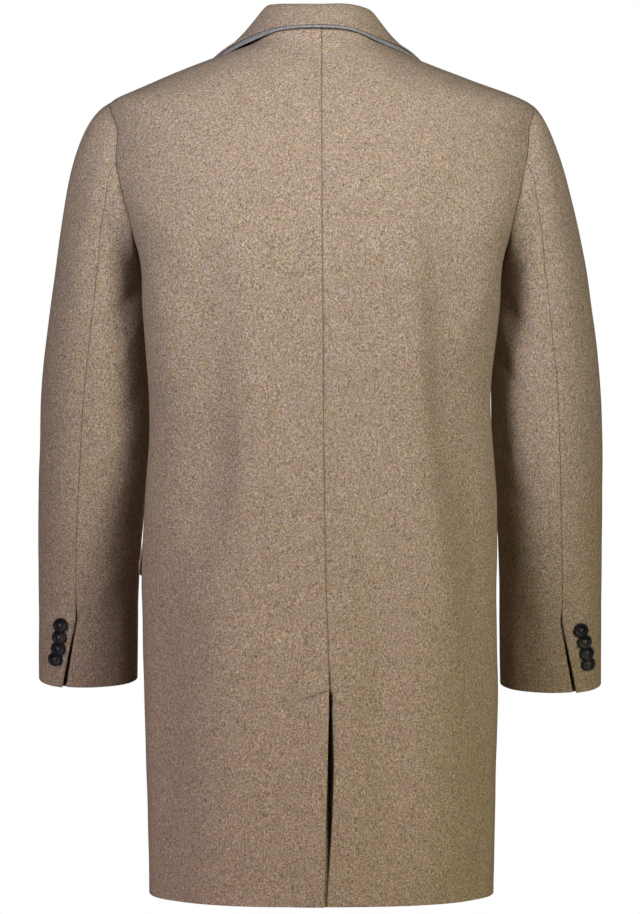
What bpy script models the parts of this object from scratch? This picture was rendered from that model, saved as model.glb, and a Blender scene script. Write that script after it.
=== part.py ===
"""Short tailored wool coat, filled out as when worn, with nothing inside it.

Metres, +Z up, +X to the wearer's left, +Y to the wearer's back. The origin is in the neck opening, on the
wearer's axis and level with the centre back neck seam. Every cut piece is a closed wall of cloth. The body
pieces are cut from one rounded torso surface, the sleeves run from its armholes to the cuffs, and the collar,
lapels, flaps and buttons are laid on those surfaces.
"""

import math

import bpy
import numpy as np
from mathutils import Matrix, Vector

# Driving dimensions
SAME_SPLIT = [0, 3, 2, 1]  # a quad turned over that still splits along the same diagonal
CLOTH = 0.0020  # wall of the wool cloth
FELT = 0.0016  # wall of the undercollar felt
FELT_SHOWS = 0.042  # how far the felt passes the collar's edge, as a share of the collar's strip
SEAM = 0.0003  # gap between two pieces at a seam
HEM = -0.944  # back length, from the nape down
LAP = 0.0016  # half the step between two layers where one piece laps over another

# Armhole: an oval on the torso, seen from the side
ARMHOLE_MIDDLE = -0.166
ARMHOLE_RISE = 0.084
ARMHOLE_BACK = math.radians(30.2)
ARMHOLE_FRONT = math.radians(33)
ARMHOLE_LOW = 0.10  # how much deeper the curve is cut in its lower half
ARMHOLE_SQUARE = 0.115  # and how square it is
SHOULDER_TIP = ARMHOLE_MIDDLE + ARMHOLE_RISE
UNDERARM = ARMHOLE_MIDDLE - ARMHOLE_RISE
NECK_SIDE = -0.018  # height where the shoulder seam meets the neck

# Back vent
VENT_TOP = -0.714
VENT_SLANT = 0.020  # drop of the underlap's slanted top edge
VENT_UNDERLAP = math.radians(14)
VENT_SPREAD = 0.0035  # how far the overlap stands off halfway down

# Front closing and lapels
COLLAR_END = -0.0800
NECK_CLEAR = 0.0030  # from the neck edges to the middle of the collar's stand
NOTCH_AT = 0.55  # share of the lapel's width that is sewn to the collar
NOTCH_DROP = 0.018
RIGHT_LAPEL_END = 0.69  # where the right lapel passes under the left front

# Sleeves
BICEP = -0.275
CUFF = -0.7165
BACK_SEAM = math.radians(80)  # round the arm: 0 is outward, 90 degrees is the back
FRONT_SEAM = math.radians(-100)
CUFF_VENT_TOP = -0.637
CUFF_VENT_TURN = math.radians(17)  # how far the vent's edge runs outward at the cuff
CUFF_UNDERLAP = math.radians(28)
SWING_LEFT = 0.0036  # the left forearm hangs out, the right one in
SWING_RIGHT = -0.0022
DROP_RIGHT = 0.006  # the right sleeve hangs lower
CAP_LEFT = 0.50  # how full the top of each sleeve is
CAP_RIGHT = 0.30
CAP_SIDES = 0.75

# Buttons
CUFF_BUTTON = 0.0162  # diameter
FRONT_BUTTON = 0.0225
BUTTON_TILT = math.radians(16)  # how far a cuff button leans over the one below
BUTTON_FACE = math.radians(18)  # and how far it turns to the back
FRONT_BUTTON_HEIGHTS = (-0.372, -0.487, -0.602)

# Rings of the torso. Depth is measured from the side line, whose place front to back is "middle". The right
# side is narrower than the left one by "right_less": the right shoulder hangs lower.
TORSO_COLUMNS = ("height", "half_width", "right_less", "back_depth", "front_depth", "middle", "squareness")
TORSO = (
    (-0.960, 0.1880, 0.000, 0.146, 0.140, 0.000, 2.30),
    (-0.870, 0.1895, 0.000, 0.146, 0.140, 0.000, 2.32),
    (-0.780, 0.1925, 0.001, 0.146, 0.140, 0.000, 2.35),
    (-0.640, 0.1960, 0.000, 0.145, 0.138, 0.000, 2.40),
    (-0.520, 0.1985, 0.001, 0.138, 0.134, 0.000, 2.45),
    (-0.410, 0.1910, 0.001, 0.130, 0.132, 0.000, 2.50),
    (-0.310, 0.1960, 0.000, 0.134, 0.138, 0.000, 2.50),
    (-0.250, 0.2000, 0.000, 0.137, 0.140, 0.000, 2.45),
    (-0.210, 0.2140, 0.000, 0.137, 0.138, -0.002, 2.40),
    (-0.160, 0.2380, 0.002, 0.133, 0.130, -0.004, 2.30),
    (-0.115, 0.2410, 0.002, 0.124, 0.118, -0.007, 2.20),
    (-0.081, 0.2350, 0.004, 0.111, 0.104, -0.010, 2.10),
    (-0.056, 0.1800, 0.016, 0.098, 0.092, -0.010, 2.05),
    (-0.028, 0.1050, 0.011, 0.080, 0.074, -0.010, 2.05),
    (-0.018, 0.0810, 0.006, 0.074, 0.068, -0.009, 2.05),
    (-0.008, 0.0750, 0.004, 0.067, 0.062, -0.006, 2.05),
    (0.006, 0.0700, 0.003, 0.057, 0.055, -0.003, 2.05),
)

# Soft folds down the body: a ridge where swell is positive, a trough where it is negative. Angles run from
# the centre back, positive to the wearer's left. The two last rows are where the arms press the sides.
FOLD_COLUMNS = ("top_angle", "low_angle", "top", "low", "half_angle", "swell")
FOLDS = (
    (30, 36, -0.17, -0.62, 9, -0.0045),
    (-35, -43, -0.17, -0.86, 9, -0.0050),
    (-16, -23, -0.44, -0.98, 8, -0.0045),
    (-29, -33, -0.46, -0.82, 6, 0.0025),
    (22, 24, -0.56, -0.98, 9, 0.0030),
    (11, 12, -0.74, -1.00, 5, -0.0025),
    (58, 52, -0.60, -1.00, 8, -0.0030),
    (-62, -58, -0.62, -1.00, 8, -0.0035),
    (128, 133, -0.24, -0.52, 10, -0.0035),
    (-131, -126, -0.26, -0.50, 10, -0.0035),
    (121, 126, -0.64, -1.00, 8, 0.0035),
    (-124, -120, -0.66, -1.00, 9, 0.0035),
    (100, 100, -0.140, -0.62, 21, -0.0140),
    (-100, -100, -0.165, -0.74, 21, -0.0140),
)

# The skirt hangs a little turned to the right: degrees at each height
TWIST_COLUMNS = ("height", "degrees")
TWIST = ((-0.960, -1.3), (-0.820, -2.9), (-0.714, -3.3), (-0.450, -1.5), (-0.200, -0.3), (0.010, 0.0))

# Edge of the left front: straight down the closing, then up the roll of the lapel to the neck
FRONT_EDGE_COLUMNS = ("height", "sideways")
FRONT_EDGE = ((-0.960, -0.0220), (-0.600, -0.0220), (-0.345, -0.0220), (-0.250, 0.0170), (-0.160, 0.0490),
              (-0.090, 0.0660), (-0.042, 0.0730), (-0.026, 0.0765), (-0.018, 0.0800))

# Rings of the left sleeve below the armhole
SLEEVE_COLUMNS = ("height", "across", "along", "half_width", "half_depth", "pitch")
SLEEVE = (
    (-0.760, 0.2603, -0.112, 0.0561, 0.0450, 0.19),
    (-0.716, 0.2593, -0.100, 0.0566, 0.0465, 0.19),
    (-0.650, 0.2579, -0.082, 0.0568, 0.0500, 0.18),
    (-0.560, 0.2560, -0.058, 0.0574, 0.0550, 0.15),
    (-0.450, 0.2500, -0.034, 0.0612, 0.0620, 0.09),
    (-0.360, 0.2460, -0.020, 0.0590, 0.0660, 0.04),
    (-0.275, 0.2425, -0.014, 0.0510, 0.0690, 0.00),
)

# Collar from the centre back round to its front end. The seam follows the neck edges of the back and the
# front, the fold stands above it and leans in, and the edge hangs off the torso by stand_off. The right
# half's fold and edge are lower by the last two columns.
COLLAR_COLUMNS = ("station", "seam_turn", "stand", "lean", "lean_turn", "edge_angle", "edge_height",
                  "stand_off", "right_fold", "right_edge")
COLLAR = (
    (0.00, 0, 0.0180, 0.012, 0, 0, -0.0072, 0.0085, 0.0000, 0.0000),
    (0.14, 26, 0.0220, 0.013, 22, 24, -0.0072, 0.0080, 0.0000, 0.0016),
    (0.28, 55, 0.0318, 0.016, 50, 52, -0.0097, 0.0080, 0.0036, 0.0083),
    (0.45, 90, 0.0390, 0.020, 84, 90, -0.0285, 0.0050, 0.0080, 0.0008),
    (0.60, 110, 0.0310, 0.016, 80, 127, -0.0530, 0.0058, 0.0050, 0.0000),
    (0.80, 136, 0.0130, 0.012, 64, 140, -0.0680, 0.0075, 0.0000, 0.0000),
    (1.00, 172, 0.0030, 0.012, 58, 150, -0.0920, 0.0070, 0.0000, 0.0000),
)

# Left lapel from the collar down to the break: height of its fold and its outer corner on the front
LAPEL_COLUMNS = ("station", "height", "edge_sideways", "edge_height")
LAPEL = (
    (0.00, -0.0820, 0.1210, -0.0960),
    (0.25, -0.1350, 0.1080, -0.1600),
    (0.50, -0.2050, 0.0740, -0.2240),
    (0.75, -0.2750, 0.0330, -0.2860),
    (1.00, -0.3430, -0.0150, -0.3440),
)

# Pocket flap on the left front
FLAP_REAR = math.radians(93)
FLAP_FRONT = math.radians(147)
FLAP_TOP = -0.5535
FLAP_FALL = 0.046
FLAP_ROUND = 0.18  # share of the width that each rounded lower corner takes

# Cuff buttons: height, and angle round the left and the right arm
CUFF_BUTTON_ROWS = ((-0.6450, 62.5, 59.0), (-0.6582, 61.0, 54.5), (-0.6713, 59.5, 51.5),
                    (-0.6837, 55.5, 49.5))

WOOL = ("wool", (0.300, 0.224, 0.158), 0.95)
UNDERSIDE = ("felt", (0.205, 0.195, 0.185), 0.95)
HORN = ("horn", (0.018, 0.020, 0.030), 0.25)


def spline(keys, values, at):
    """Smooth line through table rows: cubic pieces whose slopes come from the rows on each side."""
    keys = np.asarray(keys, float)
    values = np.asarray(values, float)
    slopes = np.gradient(values, keys, axis=0)
    at = np.clip(np.asarray(at, float), keys[0], keys[-1])
    row = np.clip(np.searchsorted(keys, at) - 1, 0, len(keys) - 2)
    step = keys[row + 1] - keys[row]
    share = (at - keys[row]) / step
    if values.ndim > 1:
        step, share = step[..., None], share[..., None]
    rise = values[row + 1] - values[row]
    start = slopes[row] * step
    end = slopes[row + 1] * step
    square = 3 * rise - 2 * start - end
    cube = start + end - 2 * rise
    return values[row] + share * (start + share * (square + share * cube))


def read(table, columns, name, at):
    """One named column of a table, read smoothly along the table's first column."""
    place = columns.index(name)
    return spline([row[0] for row in table], [row[place] for row in table], at)


def ease(low, high, value):
    """Rises smoothly from 0 at low to 1 at high; low may be the greater of the two."""
    share = np.clip((value - low) / (high - low), 0, 1)
    return share * share * (3 - 2 * share)


def unit(vectors):
    """Vectors of length one along the last axis."""
    return vectors / np.maximum(np.linalg.norm(vectors, axis=-1, keepdims=True), 1e-12)


def join(x, y, z):
    """One array of points from three arrays that stretch to a common shape."""
    return np.stack(np.broadcast_arrays(x, y, z), axis=-1).astype(float)


def swell_at(angle, height):
    """Soft folds of the body, in metres outward."""
    total = np.zeros(np.broadcast(angle, height).shape)
    turned = np.degrees(angle)
    for top_angle, low_angle, top, low, half_angle, swell in FOLDS:
        share = np.clip((top - height) / (top - low), 0, 1)
        middle = top_angle + (low_angle - top_angle) * share
        away = (turned - middle + 180) % 360 - 180
        run = ease(0, 0.25, share) * ease(1, 0.75, share)
        total = total + swell * run * np.exp(-((away / half_angle) ** 2))
    return total


def torso(angle, height):
    """Outer surface of the body: rounded-box rings up the wearer, turned by the twist, plus the folds."""
    angle = angle + np.radians(read(TWIST, TWIST_COLUMNS, "degrees", height))
    half_width, right_less, back_depth, front_depth, middle, squareness = (
        read(TORSO, TORSO_COLUMNS, name, height) for name in TORSO_COLUMNS[1:])
    across, along = np.sin(angle), np.cos(angle)
    half_width = half_width - right_less * ease(0, -0.8, across)
    reach = (np.abs(across) ** squareness + np.abs(along) ** squareness) ** (-1 / squareness)
    depth = np.where(along > 0, back_depth, front_depth)
    swell = swell_at(angle, height)
    x = half_width * reach * across + swell * across
    y = middle + depth * reach * along + swell * along
    return join(x, y, height)


def torso_out(angle, height):
    """Outward direction of the torso surface."""
    small = 1e-4
    round_it = torso(angle + small, height) - torso(angle - small, height)
    up_it = torso(angle, height + small) - torso(angle, height - small)
    return unit(np.cross(up_it, round_it))


def front_angle(sideways, height):
    """Angle on the torso of a point at this sideways place on the front, past 180 degrees to the right."""
    half_width = read(TORSO, TORSO_COLUMNS, "half_width", height)
    squareness = read(TORSO, TORSO_COLUMNS, "squareness", height)
    share = np.minimum(np.abs(sideways) / half_width, 0.999) ** squareness
    return math.pi - np.sign(sideways) * np.arctan((share / (1 - share)) ** (1 / squareness))


def front_edge_angle(height):
    """Angle of the left front's free edge."""
    return front_angle(read(FRONT_EDGE, FRONT_EDGE_COLUMNS, "sideways", height), height)


def body_rows():
    """Heights of a body piece's rows from hem to neck, and how far each has turned round the armhole."""
    skirt = np.concatenate((np.linspace(HEM, VENT_TOP - VENT_SLANT, 5), (VENT_TOP - 0.004, VENT_TOP + 0.010),
                            np.linspace(VENT_TOP + 0.030, UNDERARM, 10)[:-1]))
    turn = np.linspace(0, math.pi, 15)
    scye = ARMHOLE_MIDDLE - ARMHOLE_RISE * np.cos(turn)
    yoke = np.linspace(SHOULDER_TIP, NECK_SIDE, 6)[1:]
    heights = np.concatenate((skirt, scye, yoke))
    turns = np.concatenate((np.zeros_like(skirt), turn, np.full_like(yoke, math.pi)))
    return heights, turns


def wall(angle, height, lift):
    """Outer and inner points of a body piece, moved off the torso by lift."""
    out = torso_out(angle, height)
    outer = torso(angle, height) + out * lift[..., None]
    return outer, outer - out * CLOTH


def back_piece(side):
    """Half of the back; the left one laps over the right one below the top of the vent."""
    heights, turns = body_rows()
    gap = SEAM / 2 / 0.14
    inner_edge = np.full_like(heights, gap)
    if side < 0:
        inner_edge = inner_edge - VENT_UNDERLAP * ease(VENT_TOP - 0.004, VENT_TOP - VENT_SLANT, heights)
    outer_edge = armhole_angle(math.pi - turns) - gap
    across = np.linspace(0, 1, 11)
    angle = (inner_edge[:, None] * (1 - across) ** 5 + math.pi / 2 * across
             + (outer_edge - math.pi / 2)[:, None] * across ** 3)
    yoke_share = np.clip((heights - SHOULDER_TIP) / (NECK_SIDE - SHOULDER_TIP), 0, 1)
    rise = -NECK_SIDE * np.cos(np.clip(angle, 0, math.pi / 2)) ** 2
    height = heights[:, None] + yoke_share[:, None] * rise
    vent = ease(VENT_TOP + 0.030, VENT_TOP + 0.006, height)
    near = ease(math.radians(26), math.radians(8), np.abs(angle))
    spread = VENT_SPREAD * np.sin(math.pi * np.clip((VENT_TOP - height) / (VENT_TOP - HEM), 0, 1) ** 0.8)
    lift = side * vent * near * (LAP + spread * (side > 0) * ease(math.radians(18), 0, np.abs(angle)))
    return wall(side * angle, height, lift)


def front_piece(side):
    """Half of the front; the left one laps over the right one."""
    heights, turns = body_rows()
    gap = SEAM / 2 / 0.14
    inner_edge = front_edge_angle(heights)
    outer_edge = armhole_angle(turns - math.pi) + gap
    across = np.linspace(0, 1, 11)
    angle = (math.pi / 2 + (inner_edge - math.pi / 2)[:, None] * across
             + (outer_edge - math.pi / 2)[:, None] * (1 - across) ** 3)
    height = np.broadcast_to(heights[:, None], angle.shape)
    return wall(side * angle, height, front_lift(side, angle, height))


def front_lift(side, angle, height):
    """The left front passes outside the right one near the centre."""
    near = ease(math.radians(155), math.radians(168), angle)
    return side * LAP * near * ease(-0.21, -0.27, height)


def armhole_angle(turn):
    """Angle on the torso of the armhole seam; turn is 0 at the shoulder tip and 90 degrees at the back."""
    reach = np.where(np.sin(turn) > 0, ARMHOLE_BACK, ARMHOLE_FRONT)
    wave = np.sin(turn) - ARMHOLE_LOW * np.sin(2 * turn) + ARMHOLE_SQUARE * np.sin(3 * turn)
    return math.pi / 2 - reach * wave


def armhole(side, turn, gap):
    """Points of the armhole seam, moved outward by the seam's gap."""
    points = torso(side * armhole_angle(turn), ARMHOLE_MIDDLE + ARMHOLE_RISE * np.cos(turn))
    return points + np.array((side * gap, 0, 0))


def sleeve_ring(side, turn, height):
    """Ring of the sleeve below the armhole, leaning with the forearm."""
    across, along, half_width, half_depth, pitch = (
        read(SLEEVE, SLEEVE_COLUMNS, name, height) for name in SLEEVE_COLUMNS[1:])
    across = across + (SWING_LEFT if side > 0 else SWING_RIGHT) * ease(-0.35, -0.56, height)
    back = half_depth * np.sin(turn)
    drop = 0 if side > 0 else DROP_RIGHT
    return join(side * (across + half_width * np.cos(turn)), along + back, height - pitch * back - drop)


def sleeve(side, turn, down):
    """Sleeve surface: down runs 0 to 1 over the cap, from armhole to bicep, and 1 to 2 to the cuff."""
    turn, down = np.broadcast_arrays(turn, down)
    top = armhole(side, turn, 3 * SEAM)
    low = sleeve_ring(side, turn, np.full(turn.shape, BICEP))
    length = np.linalg.norm(low - top, axis=-1, keepdims=True)
    level = np.sin(turn) ** 2
    full = CAP_LEFT if side > 0 else CAP_RIGHT
    full = CAP_SIDES + (full - CAP_SIDES) * np.clip(np.cos(turn), 0, 1) ** 2
    leave = unit(join(side * (0.45 + 0.35 * np.cos(turn) + 0.25 * level),
                      0.40 * np.sin(turn) * ease(-0.9, 0, np.cos(turn)),
                      -0.55 + 0.47 * np.cos(turn) ** 3)) * length * full[..., None]
    arrive = unit(sleeve_ring(side, turn, np.full(turn.shape, BICEP - 0.01)) - low) * length
    share = np.clip(down, 0, 1)[..., None]
    cap = (top * (1 + share * share * (2 * share - 3)) + low * share * share * (3 - 2 * share)
           + leave * share * (1 - share) ** 2 + arrive * share * share * (share - 1))
    arm = sleeve_ring(side, turn, BICEP + (CUFF - BICEP) * np.clip(down - 1, 0, 1.1))
    return np.where(down[..., None] < 1, cap, arm)


def sleeve_out(side, turn, down):
    """Outward direction of the sleeve surface, away from the arm."""
    small = 1e-3
    round_it = sleeve(side, turn + small, down) - sleeve(side, turn - small, down)
    down_it = sleeve(side, turn, down + small) - sleeve(side, turn, np.maximum(down - small, 0))
    return side * unit(np.cross(down_it, round_it))


def sleeve_piece(side, top_piece):
    """Outer or inner half of a sleeve; the outer half laps over the inner one at the cuff's vent."""
    vent_from = 1 + (CUFF_VENT_TOP - BICEP) / (CUFF - BICEP)
    down = np.concatenate((np.linspace(0, 1, 9)[:-1], np.linspace(1, vent_from - 0.06, 8),
                           (vent_from - 0.02, vent_from + 0.012), np.linspace(vent_from + 0.05, 2, 4)))
    gap = SEAM / 2 / 0.055
    level = BICEP + (CUFF - BICEP) * np.clip(down - 1, 0, 1)
    vent = ease(CUFF_VENT_TOP + 0.020, CUFF_VENT_TOP + 0.002, level)
    underlap = ease(CUFF_VENT_TOP - 0.005, CUFF_VENT_TOP - 0.022, level)
    open_share = np.clip((CUFF_VENT_TOP - level) / (CUFF_VENT_TOP - CUFF), 0, 1)
    if top_piece:
        start = np.full_like(down, FRONT_SEAM + gap)
        end = BACK_SEAM - gap - CUFF_VENT_TURN * open_share
        turn = start[:, None] + (end - start)[:, None] * np.linspace(0, 1, 11)
    else:
        share = np.linspace(0, 1, 11)
        turn = BACK_SEAM + gap + (2 * math.pi + FRONT_SEAM - BACK_SEAM - 2 * gap) * share
        turn = turn - CUFF_UNDERLAP * underlap[:, None] * (1 - share) ** 3
    down = np.broadcast_to(down[:, None], turn.shape)
    near = ease(math.radians(70), math.radians(30), np.abs(turn - BACK_SEAM))
    lift = (1 if top_piece else -1) * LAP * near * vent[:, None]
    out = sleeve_out(side, turn, down)
    outer = sleeve(side, turn, down) + out * lift[..., None]
    return outer, outer - out * CLOTH


def turnover(seam, fold, edge, share, roll, flare=0.0):
    """Strip that rises from a seam, turns over at a fold and comes down to an edge; share runs 0 to 1."""
    split = 0.36
    share = share[..., None]
    outward = (edge - seam) * np.array((1.0, 1.0, 0.0))
    turn = unit(outward) * roll
    rise = np.clip(share / split, 0, 1)
    fall = np.clip((share - split) / (1 - split), 0, None)

    def piece(start, end, leave, arrive, t):
        return (start * (1 + t * t * (2 * t - 3)) + end * t * t * (3 - 2 * t)
                + leave * t * (1 - t) ** 2 + arrive * t * t * (t - 1))

    up = piece(seam, fold, fold - seam, turn, rise)
    arrive = (edge - fold) * join(1 + 0.25 * flare, 1 + 0.25 * flare, 1 - 0.42 * flare)
    down = piece(fold, edge, turn * 1.6, arrive, np.minimum(fall, 1))
    down = down + (edge - fold) * np.maximum(fall - 1, 0)
    return np.where(share < split, up, down)


def neck_seam(side, turn):
    """Middle of the cloth along the neck edges; turn is degrees round the back, then on down the front."""
    corner = np.degrees(front_edge_angle(NECK_SIDE))
    past = np.clip((turn - corner) / (172 - corner), 0, 1)
    height = NECK_SIDE * np.sin(np.radians(np.minimum(turn, 90))) ** 2 + (COLLAR_END - NECK_SIDE) * past
    angle = np.where(turn < corner, np.radians(turn), front_edge_angle(np.minimum(height, NECK_SIDE))) * side
    small = 1e-3
    up = unit(torso(angle, height + small) - torso(angle, height - small))
    on = unit(torso(angle + side * small, height) - torso(angle - side * small, height))
    beyond = ease(corner - 12, corner + 12, turn)[..., None]
    away = unit(up * (1 - beyond) + on * beyond)
    return torso(angle, height) - torso_out(angle, height) * CLOTH / 2 + away * NECK_CLEAR


def collar_lines(side):
    """Seam, fold and edge of one half of the collar at the table's stations."""
    columns = np.array(COLLAR).T[1:]
    seam_turn, stand, lean, lean_turn, edge_angle, edge_height, stand_off, right_fold, right_edge = columns
    if side < 0:
        stand = stand - right_fold
        edge_height = edge_height - right_edge
    seam = neck_seam(side, seam_turn)
    inward = np.radians(lean_turn)
    fold = seam + join(-side * lean * np.sin(inward), -lean * np.cos(inward), stand)
    edge_angle = np.radians(edge_angle) * side
    edge = torso(edge_angle, edge_height) + torso_out(edge_angle, edge_height) * stand_off[:, None]
    return seam, fold, edge


def collar(station, share):
    """Middle surface of the collar; station runs -1 to 1 from the right front end to the left one."""
    station, share = np.broadcast_arrays(station, share)
    keys = np.array([row[0] for row in COLLAR])
    keys = np.concatenate((-keys[:0:-1], keys))
    seam, fold, edge = (
        spline(keys, np.concatenate((right[:0:-1], left)), station)
        for right, left in zip(collar_lines(-1), collar_lines(1)))
    stand = np.linalg.norm(fold - seam, axis=-1, keepdims=True)
    flare = ease(0.18, 0.40, np.abs(station))
    return turnover(seam, fold, edge, share, np.minimum(0.85 * stand, 0.014), flare)


def lapel(side, station, share):
    """Middle surface of a lapel; station runs 0 to 1 from the collar to the break."""
    station, share = np.broadcast_arrays(station, share)
    height, edge_sideways, edge_height = (
        read(LAPEL, LAPEL_COLUMNS, name, station) for name in LAPEL_COLUMNS[1:])
    sideways = read(FRONT_EDGE, FRONT_EDGE_COLUMNS, "sideways", height)
    seam = on_front(side, sideways - 0.0012, height, -CLOTH / 2)
    fold = on_front(side, sideways - 0.0080, height + 0.003, 0.0035)
    edge = on_front(side, edge_sideways, edge_height, 0.0045)
    strip = turnover(seam, fold, edge, share, 0.006)
    leaf = np.clip((share - NOTCH_AT) / (1 - NOTCH_AT), 0, 1)
    strip = strip - join(0 * leaf, 0 * leaf, NOTCH_DROP * leaf * (1 - np.clip(station / 0.5, 0, 1)) ** 2)
    floor = on_front(side, np.abs(strip[..., 0]) * np.sign(strip[..., 0]) * side, strip[..., 2], 0.0032)
    laid = strip.copy()
    laid[..., 1] = np.where(share > 0.36, np.minimum(strip[..., 1], floor[..., 1]), strip[..., 1])
    return laid


def on_front(side, sideways, height, off):
    """Point on the front, moved off the cloth; sideways counts from the centre to the side."""
    angle = front_angle(sideways, height)
    lift = front_lift(side, angle, height) + off
    return torso(side * angle, height) + torso_out(side * angle, height) * np.asarray(lift)[..., None]


def grid_out(surface, first, second, flip):
    """Unit normals of a surface of two parameters."""
    small = 1e-4
    one = surface(first + small, second) - surface(first - small, second)
    two = surface(first, second + small) - surface(first, second - small)
    return flip * unit(np.cross(one, two))


def collar_piece(top_piece):
    """Wool collar outside the middle surface, or the felt one under it, which shows past the edge."""
    shares = (0, 0.13, 0.22, 0.29, 0.335, 0.375, 0.42, 0.50, 0.65, 0.82, 1)
    station, share = np.meshgrid(np.linspace(-0.992, 0.992, 35), shares, indexing="ij")
    if not top_piece:
        reach = FELT_SHOWS * (1 + 0.8 * ease(0.18, 0.34, np.abs(station))) * ease(0.50, 0.42, np.abs(station))
        share = share + reach * ease(0.82, 1, share)
    out = grid_out(collar, station, np.minimum(share, 0.999), 1)
    middle = collar(station, share)
    gap = out * (SEAM * (1 + 2 * ease(0.65, 0.85, np.abs(station))))[..., None]
    if top_piece:
        return middle + gap + out * CLOTH, middle + gap
    return middle - gap, middle - gap - out * FELT


def lapel_piece(side):
    """A lapel as a wall on both sides of its middle surface."""
    low = 0.985 if side > 0 else RIGHT_LAPEL_END
    station, share = np.meshgrid(np.linspace(0.012, low, 12), np.linspace(0, 1, 10), indexing="ij")

    def surface(first, second):
        return lapel(side, first, second)

    out = grid_out(surface, station, share, side)
    middle = surface(station, share)
    return middle + out * CLOTH / 2, middle - out * CLOTH / 2


def flap_piece(side):
    """Pocket flap laid on the front, hanging a little clear of it at its lower edge."""
    across, down = np.meshgrid(np.linspace(0, 1, 13), np.linspace(0, 1, 5), indexing="ij")
    corner = np.clip(1 - np.minimum(across, 1 - across) / FLAP_ROUND, 0, 1)
    fall = FLAP_FALL * (1 - 0.35 * (1 - np.sqrt(1 - corner ** 2)))
    angle = FLAP_REAR + (FLAP_FRONT - FLAP_REAR) * across
    height = FLAP_TOP - fall * down
    out = torso_out(side * angle, height)
    under = torso(side * angle, height) + out * (0.0006 + 0.0022 * down)[..., None]
    return under + out * CLOTH, under


def sew(name, layers, finish, home):
    """Closed wall between two grids of points, as one object."""
    outer, inner = layers
    rows, columns = outer.shape[:2]
    points = np.concatenate((outer.reshape(-1, 3), inner.reshape(-1, 3)))
    index = np.arange(rows * columns).reshape(rows, columns)
    under = index + rows * columns
    quads = np.stack((index[:-1, :-1], index[:-1, 1:], index[1:, 1:], index[1:, :-1]), axis=-1).reshape(-1, 4)
    faces = [quads, quads[:, SAME_SPLIT] + rows * columns]
    for line, other in ((index[0], under[0]), (under[-1], index[-1]), (under[:, 0], index[:, 0]),
                        (index[:, -1], under[:, -1])):
        faces.append(np.stack((line[1:], line[:-1], other[:-1], other[1:]), axis=-1))
    faces = np.concatenate(faces)
    corners = points[faces]
    across = np.cross(corners[:, 2] - corners[:, 0], corners[:, 3] - corners[:, 1])
    if np.sum(across * corners.mean(axis=1)) < 0:
        faces = faces[:, SAME_SPLIT]
    mesh = bpy.data.meshes.new(name)
    mesh.from_pydata(points.tolist(), [], faces.tolist())
    return place(name, mesh, finish, home)


def place(name, mesh, finish, home):
    """Object with its own material, under the coat's empty."""
    collection, root = home
    slot, colour, roughness = finish
    material = bpy.data.materials.new(name + "_" + slot)
    material.use_nodes = True
    shader = material.node_tree.nodes["Principled BSDF"]
    shader.inputs["Base Color"].default_value = (*colour, 1)
    shader.inputs["Roughness"].default_value = roughness
    mesh.materials.append(material)
    thing = bpy.data.objects.new(name, mesh)
    collection.objects.link(thing)
    thing.parent = root
    return thing


def button(name, diameter, centre, out, home):
    """Dished button turned about its own axis and set down facing out."""
    radius = diameter / 2
    thick = 0.17 * diameter
    rows = ((0, 0), (0.80 * radius, 0), (radius, 0.35 * thick), (radius, 0.75 * thick),
            (0.86 * radius, thick), (0.62 * radius, 0.72 * thick), (0, 0.66 * thick))
    mesh = bpy.data.meshes.new(name)
    mesh.from_pydata([(r, 0, z) for r, z in rows], [(i, i + 1) for i in range(len(rows) - 1)], [])
    thing = place(name, mesh, HORN, home)
    turn = thing.modifiers.new("turn", "SCREW")
    turn.axis = "Z"
    turn.angle = math.tau
    turn.steps = turn.render_steps = 16
    turn.use_merge_vertices = True
    turn.merge_threshold = 1e-5
    turn.use_normal_calculate = True
    thing.location = centre
    thing.rotation_mode = "QUATERNION"
    thing.rotation_quaternion = Vector(out).to_track_quat("Z", "Y")
    return thing


def cuff_buttons(side, home):
    """Four buttons down the cuff, each one leaning over the one below."""
    heights = np.array([row[0] for row in CUFF_BUTTON_ROWS])
    turns = np.radians([row[1 if side > 0 else 2] for row in CUFF_BUTTON_ROWS])
    downs = 1 + (heights - BICEP) / (CUFF - BICEP)
    points = sleeve(side, turns, downs)
    outs = sleeve_out(side, turns, downs)
    word = "left" if side > 0 else "right"
    for number, (point, out, run) in enumerate(zip(points, outs, np.gradient(points, axis=0)), 1):
        run = Vector(unit(run))
        lean = Matrix.Rotation(-side * BUTTON_FACE, 3, run)
        lean = Matrix.Rotation(BUTTON_TILT, 3, run.cross(Vector(out))) @ lean
        facing = lean @ Vector(out)
        stand = LAP + math.sin(facing.angle(Vector(out))) * CUFF_BUTTON / 2 - 0.0006
        button("cuff_button_%s_%d" % (word, number), CUFF_BUTTON, point + out * stand, facing, home)


def front_buttons(home):
    """Buttons down the centre of the left front."""
    heights = np.array(FRONT_BUTTON_HEIGHTS)
    points = on_front(1, np.full_like(heights, 1e-6), heights, 0.0006)
    outs = torso_out(np.full_like(heights, math.pi), heights)
    for number, (point, out) in enumerate(zip(points, outs), 1):
        button("front_button_%d" % number, FRONT_BUTTON, point, out, home)


def clear_scene():
    """Takes out whatever the new file starts with."""
    for thing in list(bpy.data.objects):
        bpy.data.objects.remove(thing)


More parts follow.
